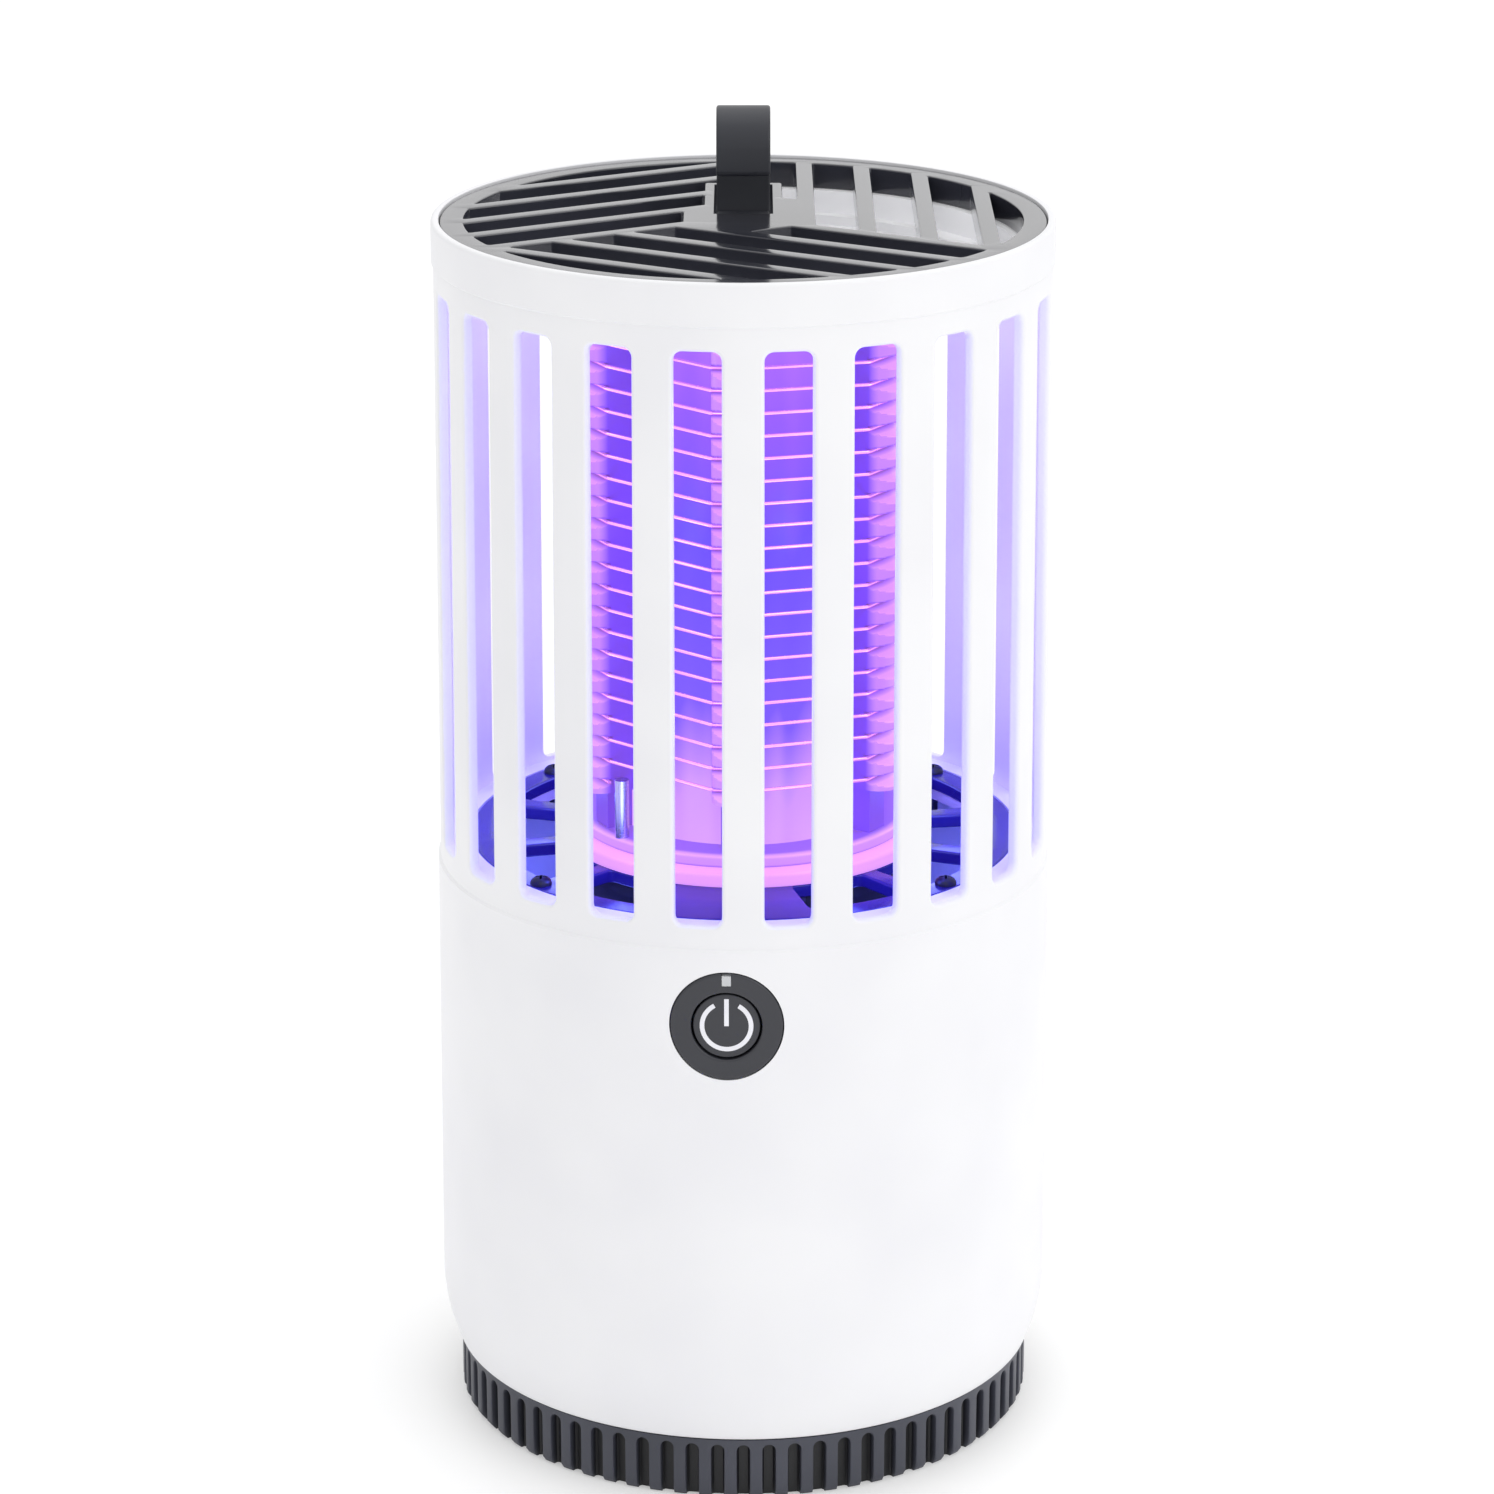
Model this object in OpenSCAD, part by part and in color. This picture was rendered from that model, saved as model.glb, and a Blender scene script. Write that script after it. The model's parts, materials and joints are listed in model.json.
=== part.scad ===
// Rechargeable electric bug zapper: a white drum with upright windows round a glowing
// high-voltage grid, hung by a fold-down hook and emptied through a twist-off tray.
// The front faces -Y. The origin is on the table, on the drum's axis.

/* [Housing] */
// Height of the white rim above the table
body_h = 208; // [200:1:250]
// Largest outside diameter of the housing
body_d = 105; // [100:1:128]
// Thickness of the housing wall
wall = 2.2; // [1.8:0.1:2.6]
// Draft of the moulded side wall, in degrees
draft = 0.4; // [0.2:0.1:0.6]
// Height of the housing's lower edge above the table
skirt_z = 11; // [9:0.5:11]
// Height of the rounded tuck-in above the lower edge
tuck_h = 12; // [10:1:16]
// How far the tuck-in comes in at the lower edge
tuck_in = 2.5; // [2:0.1:2.6]
// How far the inside yaw turns the button, the grid and the deck to the left, in degrees
inner_yaw = -3; // [-5:0.5:5]

/* [Windows] */
// Number of windows round the drum
window_count = 22; // [16:2:24]
// Width of one window
window_w = 7.7; // [5:0.1:8.2]
// Height of one window
window_h = 94.4; // [78:0.2:100]
// Corner radius of a window
window_corner = 1.5; // [0.5:0.1:2.5]
// Distance from the rim down to the windows
window_drop = 11; // [10:0.5:16]
// Depth of the shallow band that the windows sit in
band_step = 0.35; // [0.2:0.05:0.5]
// Height of the band above and below the windows
band_margin = 4.2; // [3:0.1:5]

/* [Top grille] */
// Thickness of the grille
grille_t = 4.4; // [3.6:0.1:6]
// How far the grille lies below the rim
grille_sink = 0.4; // [0:0.1:1]
// Width of the white rim round the grille
rim_w = 1.5; // [1.2:0.1:2]
// Width of one slot of the grille
grille_slot_w = 6.9; // [5:0.1:7.2]
// Width of one slat of the grille
slat_w = 2.9; // [2:0.1:4]
// Width of the solid ring round the grille
grille_ring_w = 3.9; // [3:0.1:5]

/* [Hook] */
// Width of the hook's strap
hook_w = 8.8; // [6:0.1:10]
// Thickness of the hook's strap
hook_t = 2; // [1.6:0.1:2.6]
// Inside diameter of the hook's bend
hook_bend_d = 8; // [7:0.5:10]
// Height of the hook above the rim
hook_rise = 18; // [15:0.5:24]
// Length of the straight lip in front of the bend
hook_lip = 3.6; // [2:0.1:6]
// Diameter of the hook's pin
hook_pin_d = 2; // [1.6:0.1:2.4]

/* [High-voltage grid] */
// Distance of the wires from the axis, at the posts
grid_r = 27.2; // [25:0.1:28.5]
// Diameter of the grid wire
wire_d = 0.6; // [0.6:0.1:1]
// Height between one wire and the next
wire_gap = 3.75; // [3.2:0.05:4.5]
// Width of a comb post
post_w = 7.6; // [6:0.1:9]
// How far the teeth reach out past the wires
tooth_reach = 3.5; // [2.5:0.1:4]
// Outside diameter of the light tube
tube_d = 41; // [34:0.5:42]
// Wall of the light tube
tube_wall = 1.5; // [1:0.1:2]
// Diameter of the pale disc under the grid
disc_d = 63; // [60:0.5:66]
// Thickness of the pale disc
disc_t = 2.5; // [2:0.1:3]

/* [Deck and core] */
// Thickness of the drop deck
deck_t = 2.3; // [1.8:0.1:3]
// Number of places round the deck, two of them closed
deck_places = 12; // [8:2:12]
// Width of one spoke between two openings, in degrees
spoke_deg = 6; // [5:0.5:9]
// Outside diameter of the core housing
core_d = 58; // [57:0.5:60]
// Wall of the core housing
core_wall = 1.8; // [1.4:0.1:1.9]
// Height of the underside of the core above the table
core_z = 20; // [20:0.5:22]
// Diameter of the battery cell
cell_d = 18.4; // [18:0.1:18.6]
// Length of the battery cell
cell_h = 65; // [50:0.5:65]

/* [Power button] */
// Diameter of the button's bezel
bezel_d = 18.4; // [17:0.1:20]
// Diameter of the moving cap
cap_d = 10.9; // [9:0.1:11.5]
// Travel of the button
button_travel = 0.9; // [0.5:0.1:1.1]
// Height of the button's centre below the windows
button_drop = 16.8; // [15:0.1:18]
// Gap all round the moving cap
button_gap = 0.3; // [0.3:0.05:0.4]

/* [Charging inlet] */
// Width of the rubber flap
flap_w = 17; // [15:0.5:19]
// Height of the rubber flap
flap_h = 13; // [12:0.5:14]
// Gap round the rubber flap
flap_gap = 0.35; // [0.3:0.05:0.5]

/* [Collection tray] */
// Outside diameter of the lock ring's ribs
ring_d = 99; // [97:0.5:99.5]
// Number of grip ribs
rib_count = 72; // [48:6:72]
// Depth of the flutes between the ribs
flute_depth = 1.7; // [1:0.1:1.8]
// Outside diameter of the tray's wall
tray_d = 86.4; // [84:0.2:87]
// Wall of the tray
tray_wall = 1.6; // [1.2:0.1:2]
// Height of the tray's rim above the table
tray_h = 19; // [17:0.5:19]
// Gap between the lock ring and the tray
ring_gap = 0.35; // [0.3:0.05:0.4]

/* [Hidden] */
$fn = 64;

fit = 0.15;                 // gap round a piece that is fixed in its seat
run = 0.06;                 // radial clearance of the hook on its pin
past = 1;                   // how far a cutter runs past a face
body_r = body_d / 2;
belt_z = skirt_z + tuck_h;
tuck_r = (tuck_h * tuck_h + tuck_in * tuck_in) / (2 * tuck_in);
rim_r = out_r(body_h);
window_top = body_h - window_drop;
window_z = window_top - window_h;

// heights of the stack, from the rim down
grille_top = body_h - grille_sink;
grille_z = grille_top - grille_t;
grille_r = rim_r - rim_w;
flange_t = 1.2;             // flange of the lamp cap, clamped under the grille
seat_z = grille_z - flange_t;
seat_r = grille_r + fit;
ledge_w = 3;                // width of the ledge that carries grille and cap
ledge_r = seat_r - ledge_w;
cap_floor_t = 2.5;
cap_z = seat_z - 5.5;       // underside of the lamp cap's floor
cap_boss_h = 1.9;           // bosses on the lamp cap, above its floor
cap_screw_l = 6.9;
cap_r = ledge_r - 0.5;
cap_wall = 1.8;

// deck, disc and core
deck_z = window_z - 0.6;    // top of the deck
disc_z = deck_z;            // underside of the pale disc, which clamps the deck
lamp_z = disc_z + disc_t;   // top of the pale disc
deck_r = ledge_r - 0.5;     // the deck passes the top ledge on its way in
deck_ledge_r = deck_r - 4;
deck_ledge_t = 1.8;
core_r = core_d / 2;
core_in = core_r - core_wall;
cover_t = 2;
core_foot = core_z + cover_t;
disc_boss_degs = [30, 150, 270];
disc_boss_r = tube_d / 2 - tube_wall - 5;
boss_d = 5;
hole_r1 = core_r + 2;       // drop openings, from here
hole_r2 = deck_ledge_r - 0.3; // to here
place_deg = 360 / deck_places;
pod_front = 45;             // how far the pods reach from the axis
pod_wall = 1.6;
front_pod_w = 23.5;
rear_pod_w = 18;
pod_floor_drop = 12;        // pod floor below the button's centre
rear_yaw = inner_yaw + 180;

// button
button_z = window_z - button_drop;
face_r = out_r(button_z);
cap_face_sink = 0.25;
bezel_back = face_r - 5.2;
cap_back = face_r - 4.6;
cap_flange_t = 1.2;
stem_end = face_r - 5.7;    // where the stem meets the plunger
stem_d = 4;
plunger_l = button_travel + 2.5;
switch_front = stem_end - button_travel - 1.3;
switch_back = switch_front - 2.7;
plunger_d = 3.4;
switch_w = 6.2;
symbol_r = 4.35;
symbol_w = 0.75;
symbol_sink = 0.3;
pipe_w = 1.5;
pipe_h = 1.7;
pipe_z = button_z + bezel_d / 2 - 1.4;

// charging inlet behind the flap
inlet_z = button_z;
pocket_r = face_r - 1.9;    // floor of the flap's pocket
pad_r = pocket_r - 2.4;     // inner face of the thickened wall behind it
barrel_r = 0.5;             // rolled top edge of the flap, round its hinge
hinge_r = pocket_r + flap_gap + barrel_r;
hinge_z = inlet_z + flap_h / 2 - 0.8;
pocket_top = hinge_z + 1.3; // room for the flap's edge as it swings
plug_w = 9;
plug_h = 3.3;

// hook
pivot_y = 5;
barrel_d = 4;
pivot_z = grille_top - 1.6;
hook_top = body_h + hook_rise;
bend_r = hook_bend_d / 2;
bend_out = bend_r + hook_t;
bend_z = hook_top - bend_out;
bend_y = pivot_y - hook_t / 2 - bend_r;
hook_gap = 0.5;
groove_x = hook_w / 2 + hook_gap;
spine_x = groove_x + 1.6;
groove_front = pivot_y - barrel_d / 2 - hook_gap;
groove_back = pivot_y + hook_top - pivot_z + 1.2;
spine_back = groove_back + 1.6;
pin_x = spine_x - 0.3;

// grid
start_z = lamp_z + 10.6;    // height of the lowest wire
comb_top = cap_z;
top_ring_t = 3;
foot_ring_t = 2;
step_z = wire_gap / 3;      // each wire climbs this much from post to post
tooth_z = start_z - wire_gap / 2;
last_z = comb_top - top_ring_t - 1.6;
turns = floor((last_z - start_z) / step_z);
bend_deg = 8;               // a wire bends this far either side of a post's middle
root_r = grid_r * cos(bend_deg) - wire_d / 2 - 0.03;
comb_in = tube_d / 2 + 1.6;
tip_r = grid_r + tooth_reach;
terminal_d = 2.4;
terminal_deg = 15;
wire_starts = [120, 300];   // the posts where the two wires begin

// tray and lock ring
tray_r = tray_d / 2;
tray_floor = 1.8;
pad_t = 1;
tray_lip = 2.4;
tray_lip_t = 1.4;
ring_r = ring_d / 2;
ring_in = tray_r + ring_gap;
ring_top = skirt_z - 0.3;
neck_r = ring_in + 1.65;
lug_r = neck_r + 2.4;
lug_z = 15.3;
lug_t = 2.7;
lug_deg = 30;
ledge_deg = 36;
catch_r = neck_r + 0.4;
catch_z = 12.5;
catch_t = 2.5;
ring_notch_r = tray_r + tray_lip + 0.35;
ring_notch_z = pad_t + tray_lip_t + 0.35;

// outer radius of the housing at height z
function out_r(z) = z >= belt_z ? body_r - (z - belt_z) * tan(draft)
  : body_r - tuck_r + sqrt(tuck_r * tuck_r - (belt_z - z) * (belt_z - z));
// point at distance r from the axis, deg round from the front towards +X
function polar(r, deg, z) = [r * sin(deg), -r * cos(deg), z];

// turns a child that faces the front to the place deg round the drum
module side(deg) { rotate([0, 0, deg]) children(); }
// a cylinder that points outwards at the front, from r1 to r2
module radial(r1, r2, z, d) { translate([0, -r1, z]) rotate([90, 0, 0]) cylinder(h = r2 - r1, d = d); }
// a flat shape drawn from the front, x and z, pushed outwards from r1 to r2
module outwards(r1, r2, z) { translate([0, -r1, z]) rotate([90, 0, 0]) linear_extrude(r2 - r1) children(); }
// a box at the front: width in x, from r1 to r2, from z1 to z2
module front_box(w, r1, r2, z1, z2) { translate([-w / 2, -r2, z1]) cube([w, r2 - r1, z2 - z1]); }
// a ring about the axis
module tube(r1, r2, z1, z2) {
  translate([0, 0, z1]) difference() {
    cylinder(h = z2 - z1, r = r2, $fn = 180);
    translate([0, 0, -past]) cylinder(h = z2 - z1 + 2 * past, r = r1, $fn = 180);
  }
}
// everything inside the housing's outer surface, taken in by inset
module inside_skin(inset) {
  rotate_extrude($fn = 180)
    polygon([[0, skirt_z], [out_r(belt_z) - inset, belt_z], [rim_r - inset, body_h], [0, body_h]]);
}
// a rectangle with round corners, centred
module round_rect(w, h, r) {
  square([w - 2 * r, h], center = true);
  square([w, h - 2 * r], center = true);
  for (x = [-1, 1], y = [-1, 1]) translate([x * (w / 2 - r), y * (h / 2 - r)]) circle(r = r, $fn = 32);
}
// a piece of pie, deg wide, centred on the front
module pie(r, deg) {
  polygon([[0, 0], [r * sin(-deg / 2), -r * cos(deg / 2)], [0, -r], [r * sin(deg / 2), -r * cos(deg / 2)]]);
}
// a ring segment with round corners, flat, centred on the front
module round_segment(r1, r2, deg, c) {
  inset = c / sin(deg / 2);
  intersection() {
    ring_2d(r1 + c, r2 - c);
    pie(2 * r2, deg);
  }
  intersection() {
    ring_2d(r1, r2);
    translate([0, -inset]) pie(2 * r2, deg);
  }
  for (r = [r1 + c, r2 - c], s = [-1, 1]) {
    a = deg / 2 - asin(c / r);
    translate([s * r * sin(a), -r * cos(a)]) circle(r = c, $fn = 32);
  }
}
module ring_2d(r1, r2) {
  difference() {
    circle(r = r2, $fn = 180);
    circle(r = r1, $fn = 180);
  }
}
// a pan-head screw: its head stands on z, its shank goes down
module screw(r, deg, z, shank_l, head_d, shank_d) {
  head_h = head_d * 0.38;
  translate(polar(r, deg, z)) difference() {
    union() {
      cylinder(h = head_h, d = head_d, $fn = 32);
      translate([0, 0, -shank_l]) cylinder(h = shank_l, d = shank_d, $fn = 32);
    }
    for (a = [0, 90]) rotate([0, 0, a])
      translate([-head_d * 0.3, -head_d * 0.06, head_h * 0.45]) cube([head_d * 0.6, head_d * 0.12, head_h]);
  }
}
module screw_hole(r, deg, z1, z2, d) {
  translate(polar(r, deg, z1)) cylinder(h = z2 - z1, d = d, $fn = 32);
}

// ---------------------------------------------------------------- housing
module housing_profile() {
  band_z = window_z - band_margin;
  band_top = window_top + band_margin;
  lead = 0.4;
  in_seat = out_r(seat_z) - wall;
  tuck_steps = 8;
  polygon(concat(
    [for (i = [0 : tuck_steps]) let (z = skirt_z + i * tuck_h / tuck_steps) [out_r(z), z]],
    [[out_r(band_z), band_z], [out_r(band_z) - band_step, band_z + lead],
     [out_r(band_top) - band_step, band_top - lead], [out_r(band_top), band_top],
     [rim_r, body_h - 0.6], [rim_r - 0.5, body_h], [seat_r, body_h],
     [seat_r, seat_z], [ledge_r, seat_z], [ledge_r, seat_z - 1.2],
     [in_seat, seat_z - 1.2 - (in_seat - ledge_r)],
     [out_r(deck_z) - wall, deck_z], [deck_r + fit, deck_z], [deck_r + fit, deck_z - deck_t],
     [deck_ledge_r, deck_z - deck_t], [deck_ledge_r, deck_z - deck_t - deck_ledge_t],
     [out_r(deck_z) - wall, deck_z - deck_t - deck_ledge_t],
     [body_r - wall, belt_z], [out_r(skirt_z) - wall + 0.4, skirt_z]]));
}
deck_screw_r = deck_r - 2.2;
// the deck's screws stand behind the bars nearest to the four corners
deck_screw_degs = [for (a = [45 : 90 : 315]) round(a * window_count / 360) * 360 / window_count];
module deck_bosses() {
  for (a = deck_screw_degs) intersection() {
    translate(polar(deck_screw_r, a, deck_z - deck_t - 10)) cylinder(h = 10, d = 5.6);
    tube(0.1, out_r(deck_z) - wall / 2, deck_z - deck_t - 10, deck_z - deck_t);
  }
}
module catches() {
  for (k = [0 : 2]) side(60 + 120 * k) intersection() {
    tube(catch_r, body_r - wall / 2, catch_z, catch_z + catch_t);
    linear_extrude(40) pie(2 * body_r, ledge_deg);
  }
}
module windows() {
  for (i = [0 : window_count - 1]) side((i + 0.5) * 360 / window_count)
    outwards(body_r - 8, body_r + 2, window_z + window_h / 2)
      round_rect(window_w, window_h, window_corner);
}
module housing() {
  color("#f1f1f2") difference() {
    union() {
      rotate_extrude($fn = 180) housing_profile();
      deck_bosses();
      intersection() {
        catches();
        inside_skin(wall / 2);
      }
      side(rear_yaw) intersection() {
        front_box(flap_w + 4, pad_r, face_r, inlet_z - flap_h / 2 - 2, inlet_z + flap_h / 2 + 2);
        inside_skin(wall / 2);
      }
    }
    windows();
    for (a = deck_screw_degs) screw_hole(deck_screw_r, a, deck_z - deck_t - 9, deck_z, 1.8);
    side(inner_yaw) radial(body_r - 10, body_r + 2, button_z, bezel_d + 2 * fit);
    // the ledge leaves room for the two pods of the core
    side(inner_yaw) front_box(front_pod_w + 0.8, 0, pod_front + 0.4, pod_z, pod_top);
    side(rear_yaw) front_box(rear_pod_w + 0.8, 0, pod_front + 0.4, pod_z, pod_top);
    side(rear_yaw) {
      front_box(flap_w + 2 * flap_gap, pocket_r, body_r + 2, inlet_z - flap_h / 2 - flap_gap, pocket_top);
      outwards(pad_r - past, body_r, inlet_z) round_rect(plug_w + 1.4, plug_h + 1.4, 2.3);
      translate([0, -face_r - 2.2, inlet_z - flap_h / 2 - 1.4]) sphere(r = 3.4, $fn = 32);
    }
  }
}

// ---------------------------------------------------------------- top grille
// one of the three fields of straight slots; its slats run across the sector's normal,
// and every slot ends on a line beside the first slot of the next field
module slot_field(normal_deg, hub_cut) {
  first = slat_w * 0.7;
  pitch = grille_slot_w + slat_w;
  open_r = grille_r - grille_ring_w;
  rotate([0, 0, normal_deg]) intersection() {
    circle(r = open_r, $fn = 180);
    for (i = [0 : 4]) difference() {
      translate([first + i * pitch, -2 * grille_r]) square([grille_slot_w, 4 * grille_r]);
      // the neighbouring field starts on the other side of this line
      rotate([0, 0, -120]) translate([-slat_w + first - (i == 0 ? hub_cut : 0), -2 * grille_r])
        square([4 * grille_r, 4 * grille_r]);
    }
  }
}
module grille_outline() {
  difference() {
    circle(r = grille_r, $fn = 180);
    difference() {
      union() {
        slot_field(120, 9);
        slot_field(0, 16);
        slot_field(240, 9);
      }
      translate([-spine_x, groove_front - 4]) square([2 * spine_x, spine_back - groove_front + 4]);
    }
  }
}
module top_grille() {
  color("#9a9ba4") difference() {
    translate([0, 0, grille_z]) linear_extrude(grille_t) grille_outline();
    // groove that the folded hook lies in
    translate([-groove_x, groove_front, pivot_z - hook_t / 2 - 0.6])
      cube([2 * groove_x, groove_back - groove_front, grille_t]);
    translate([-groove_x, groove_front, grille_z - past])
      cube([2 * groove_x, barrel_d + 2 * hook_gap, grille_t + 2 * past]);
    // seats of the pin, open underneath
    translate([-spine_x - past, pivot_y, pivot_z]) rotate([0, 90, 0])
      cylinder(h = 2 * spine_x + 2 * past, d = hook_pin_d);
    translate([-pin_x, pivot_y - hook_pin_d / 2, grille_z - past])
      cube([2 * pin_x, hook_pin_d, pivot_z - grille_z + past]);
  }
}

// ---------------------------------------------------------------- hook
module across(r, w, y, z) { translate([-w / 2, y, z]) rotate([0, 90, 0]) cylinder(h = w, r = r); }
module hook() {
  color("#33363f") difference() {
    union() {
      across(barrel_d / 2, hook_w, pivot_y, pivot_z);
      translate([-hook_w / 2, pivot_y - hook_t / 2, pivot_z]) cube([hook_w, hook_t, bend_z - pivot_z]);
      intersection() {
        difference() {
          across(bend_out, hook_w, bend_y, bend_z);
          across(bend_r, hook_w + 2 * past, bend_y, bend_z);
        }
        translate([-hook_w, bend_y - 2 * bend_out, bend_z]) cube([2 * hook_w, 4 * bend_out, 2 * bend_out]);
      }
      translate([-hook_w / 2, bend_y - bend_out, bend_z - hook_lip]) cube([hook_w, hook_t, hook_lip]);
      across(hook_t / 2, hook_w, bend_y - bend_out + hook_t / 2, bend_z - hook_lip);
    }
    across(hook_pin_d / 2 + run, hook_w + 2 * past, pivot_y, pivot_z);
  }
}
module hook_pin() { color("#c8cacf") across(hook_pin_d / 2, 2 * pin_x, pivot_y, pivot_z); }

// ---------------------------------------------------------------- lamp cap
cap_boss_r = comb_in + 3.6;
cap_boss_degs = [165, 45, 285];
module lamp_cap() {
  color("#f4f4f6") difference() {
    union() {
      translate([0, 0, cap_z]) cylinder(h = cap_floor_t, r = cap_r, $fn = 180);
      tube(cap_r - cap_wall, cap_r, cap_z, seat_z + flange_t);
      tube(cap_r - cap_wall, seat_r - 0.1, seat_z, seat_z + flange_t);
      tube(cap_r - 9.5, cap_r - 7.5, cap_z, cap_z + cap_floor_t + 1.6);
      for (a = cap_boss_degs)
        translate(polar(cap_boss_r, a, cap_z)) cylinder(h = cap_floor_t + cap_boss_h, d = 6.4);
      // two posts that hold the hook's pin up in its seats
      for (s = [-1, 1]) translate([s * (groove_x + 0.7) - 0.45, pivot_y - 0.85, cap_z])
        cube([0.9, 1.7, pivot_z - hook_pin_d / 2 - cap_z]);
    }
    for (a = cap_boss_degs) screw_hole(cap_boss_r, a, cap_z - past, cap_z + 20, 2.2);
  }
}
module cap_screws() {
  color("#b9bbc0") for (a = cap_boss_degs)
    screw(cap_boss_r, a, cap_z + cap_floor_t + cap_boss_h, cap_screw_l, 4, 2);
}

// ---------------------------------------------------------------- grid
post_degs = [for (k = [0 : 5]) 60 * k + inner_yaw];
module post_2d() {
  translate([-post_w / 2, -(tip_r - post_w / 2)]) square([post_w, tip_r - post_w / 2 - comb_in]);
  translate([0, -(tip_r - post_w / 2)]) circle(d = post_w);
}
module post_pair(k) {
  low_z = start_z + (2 - k) * step_z;
  difference() {
    for (half = [0, 180]) side(60 * k + inner_yaw + half)
      translate([0, 0, tooth_z]) linear_extrude(comb_top - top_ring_t / 2 - tooth_z) post_2d();
    for (n = [0 : floor((last_z + wire_gap - low_z) / wire_gap)])
      translate([0, 0, low_z + n * wire_gap]) rotate_extrude($fn = 90) polygon([
        [root_r, -wire_d / 2 - 0.06], [tip_r + past, -wire_gap * 0.36],
        [tip_r + past, wire_gap * 0.36], [root_r, wire_d / 2 + 0.06]]);
  }
}
module comb_frame() {
  color("#cfa6f2") difference() {
    union() {
      for (k = [0 : 2]) post_pair(k);
      for (a = post_degs) side(a) front_box(4.6, comb_in, grid_r - 0.4, lamp_z, tooth_z + 0.1);
      tube(comb_in, tip_r + 1.5, comb_top - top_ring_t, comb_top);
      tube(comb_in, grid_r + 1.4, lamp_z, lamp_z + foot_ring_t);
    }
    for (a = cap_boss_degs) screw_hole(cap_boss_r, a, comb_top - 2.8, comb_top + past, 2);
    for (a = wire_starts)
      screw_hole(grid_r, a + inner_yaw + terminal_deg, lamp_z - past, lamp_z + 20, terminal_d);
  }
}
// one wire climbs step_z from post to post, turning to the right as it rises
function wire_points(first_deg) = concat(
  [polar(grid_r, first_deg + terminal_deg - 2.6, start_z)],
  [for (j = [0 : turns], s = [1, -1])
    polar(grid_r, first_deg - 60 * j + bend_deg * s, start_z + j * step_z)]);
// the points of a ring round the path's point i, square to the path; ref is never along the path
function path_ring(path, i, d, ref, sides) = let (
    v = path[min(i + 1, len(path) - 1)] - path[max(i - 1, 0)],
    side_v = cross(v, ref),
    n = side_v / norm(side_v),
    b = cross(n, v / norm(v)))
  [for (k = [0 : sides - 1]) path[i] + d / 2 * (cos(360 * k / sides) * n + sin(360 * k / sides) * b)];
module swept_wire(path, d, ref = [0, 0, 1], sides = 6) {
  n = len(path);
  polyhedron(
    points = [for (i = [0 : n - 1]) each path_ring(path, i, d, ref, sides)],
    faces = concat(
      [[for (k = [0 : sides - 1]) k]],
      [for (i = [0 : n - 2], k = [0 : sides - 1]) let (p = i * sides + k, q = i * sides + (k + 1) % sides)
        each [[p, p + sides, q + sides], [p, q + sides, q]]],
      [[for (k = [sides - 1 : -1 : 0]) (n - 1) * sides + k]]));
}
module grid_wire_a() { color("#ffb0ec") swept_wire(wire_points(wire_starts[0] + inner_yaw), wire_d); }
module grid_wire_b() { color("#ffb0ec") swept_wire(wire_points(wire_starts[1] + inner_yaw), wire_d); }
module grid_terminals() {
  color("#d8dade") for (a = wire_starts)
    screw_hole(grid_r, a + inner_yaw + terminal_deg, disc_z - 2, start_z + 1.4, terminal_d);
}

// ---------------------------------------------------------------- lamp
module light_tube() {
  color("#b48cff") tube(tube_d / 2 - tube_wall, tube_d / 2, lamp_z, cap_z);
}
board_r = tube_d / 2 - tube_wall - 1.4;
board_t = 1.6;
led_r = board_r - 7.6;
module uv_led_board() {
  color("#f2f2f2") difference() {
    translate([0, 0, lamp_z]) cylinder(h = board_t, r = board_r);
    translate([0, 0, lamp_z - past]) cylinder(h = board_t + 2 * past, d = 6);
    for (a = disc_boss_degs) screw_hole(disc_boss_r, a, lamp_z - past, lamp_z + 5, 2.2);
  }
}
module uv_leds() {
  color("#8f6bff") for (a = [0 : 60 : 300]) side(a) {
    translate([-1.75, -led_r - 1.4, lamp_z + board_t]) cube([3.5, 2.8, 1.3]);
    translate([0, -led_r, lamp_z + board_t + 1.3]) cylinder(h = 0.5, d1 = 2.4, d2 = 1.8);
  }
}
module lamp_disc() {
  color("#eec4f7") difference() {
    translate([0, 0, disc_z]) cylinder(h = disc_t, d = disc_d, $fn = 180);
    translate([0, 0, disc_z - past]) cylinder(h = disc_t + 2 * past, d = 6);
    for (a = disc_boss_degs) screw_hole(disc_boss_r, a, disc_z - past, lamp_z + past, 2.2);
    for (a = wire_starts)
      screw_hole(grid_r, a + inner_yaw + terminal_deg, disc_z - past, lamp_z + past, terminal_d);
  }
}
module disc_screws() {
  color("#b9bbc0") for (a = disc_boss_degs) screw(disc_boss_r, a, lamp_z + board_t, 8, 4, 2);
}

// ---------------------------------------------------------------- deck
open_places = [for (k = [1 : deck_places - 1]) if (k != deck_places / 2) k];
module drop_deck() {
  color("#2b2f5c") difference() {
    tube(core_r + fit, deck_r, deck_z - deck_t, deck_z);
    for (k = open_places) side(k * place_deg + inner_yaw) translate([0, 0, deck_z - deck_t - past])
      linear_extrude(deck_t + 2 * past) round_segment(hole_r1, hole_r2, place_deg - spoke_deg, 2);
    for (a = deck_screw_degs) screw_hole(deck_screw_r, a, deck_z - deck_t - past, deck_z + past, 2.3);
  }
}
module deck_screws() {
  color("#8c8f98") for (a = deck_screw_degs) screw(deck_screw_r, a, deck_z, 7.4, 3.6, 1.8);
}

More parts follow.
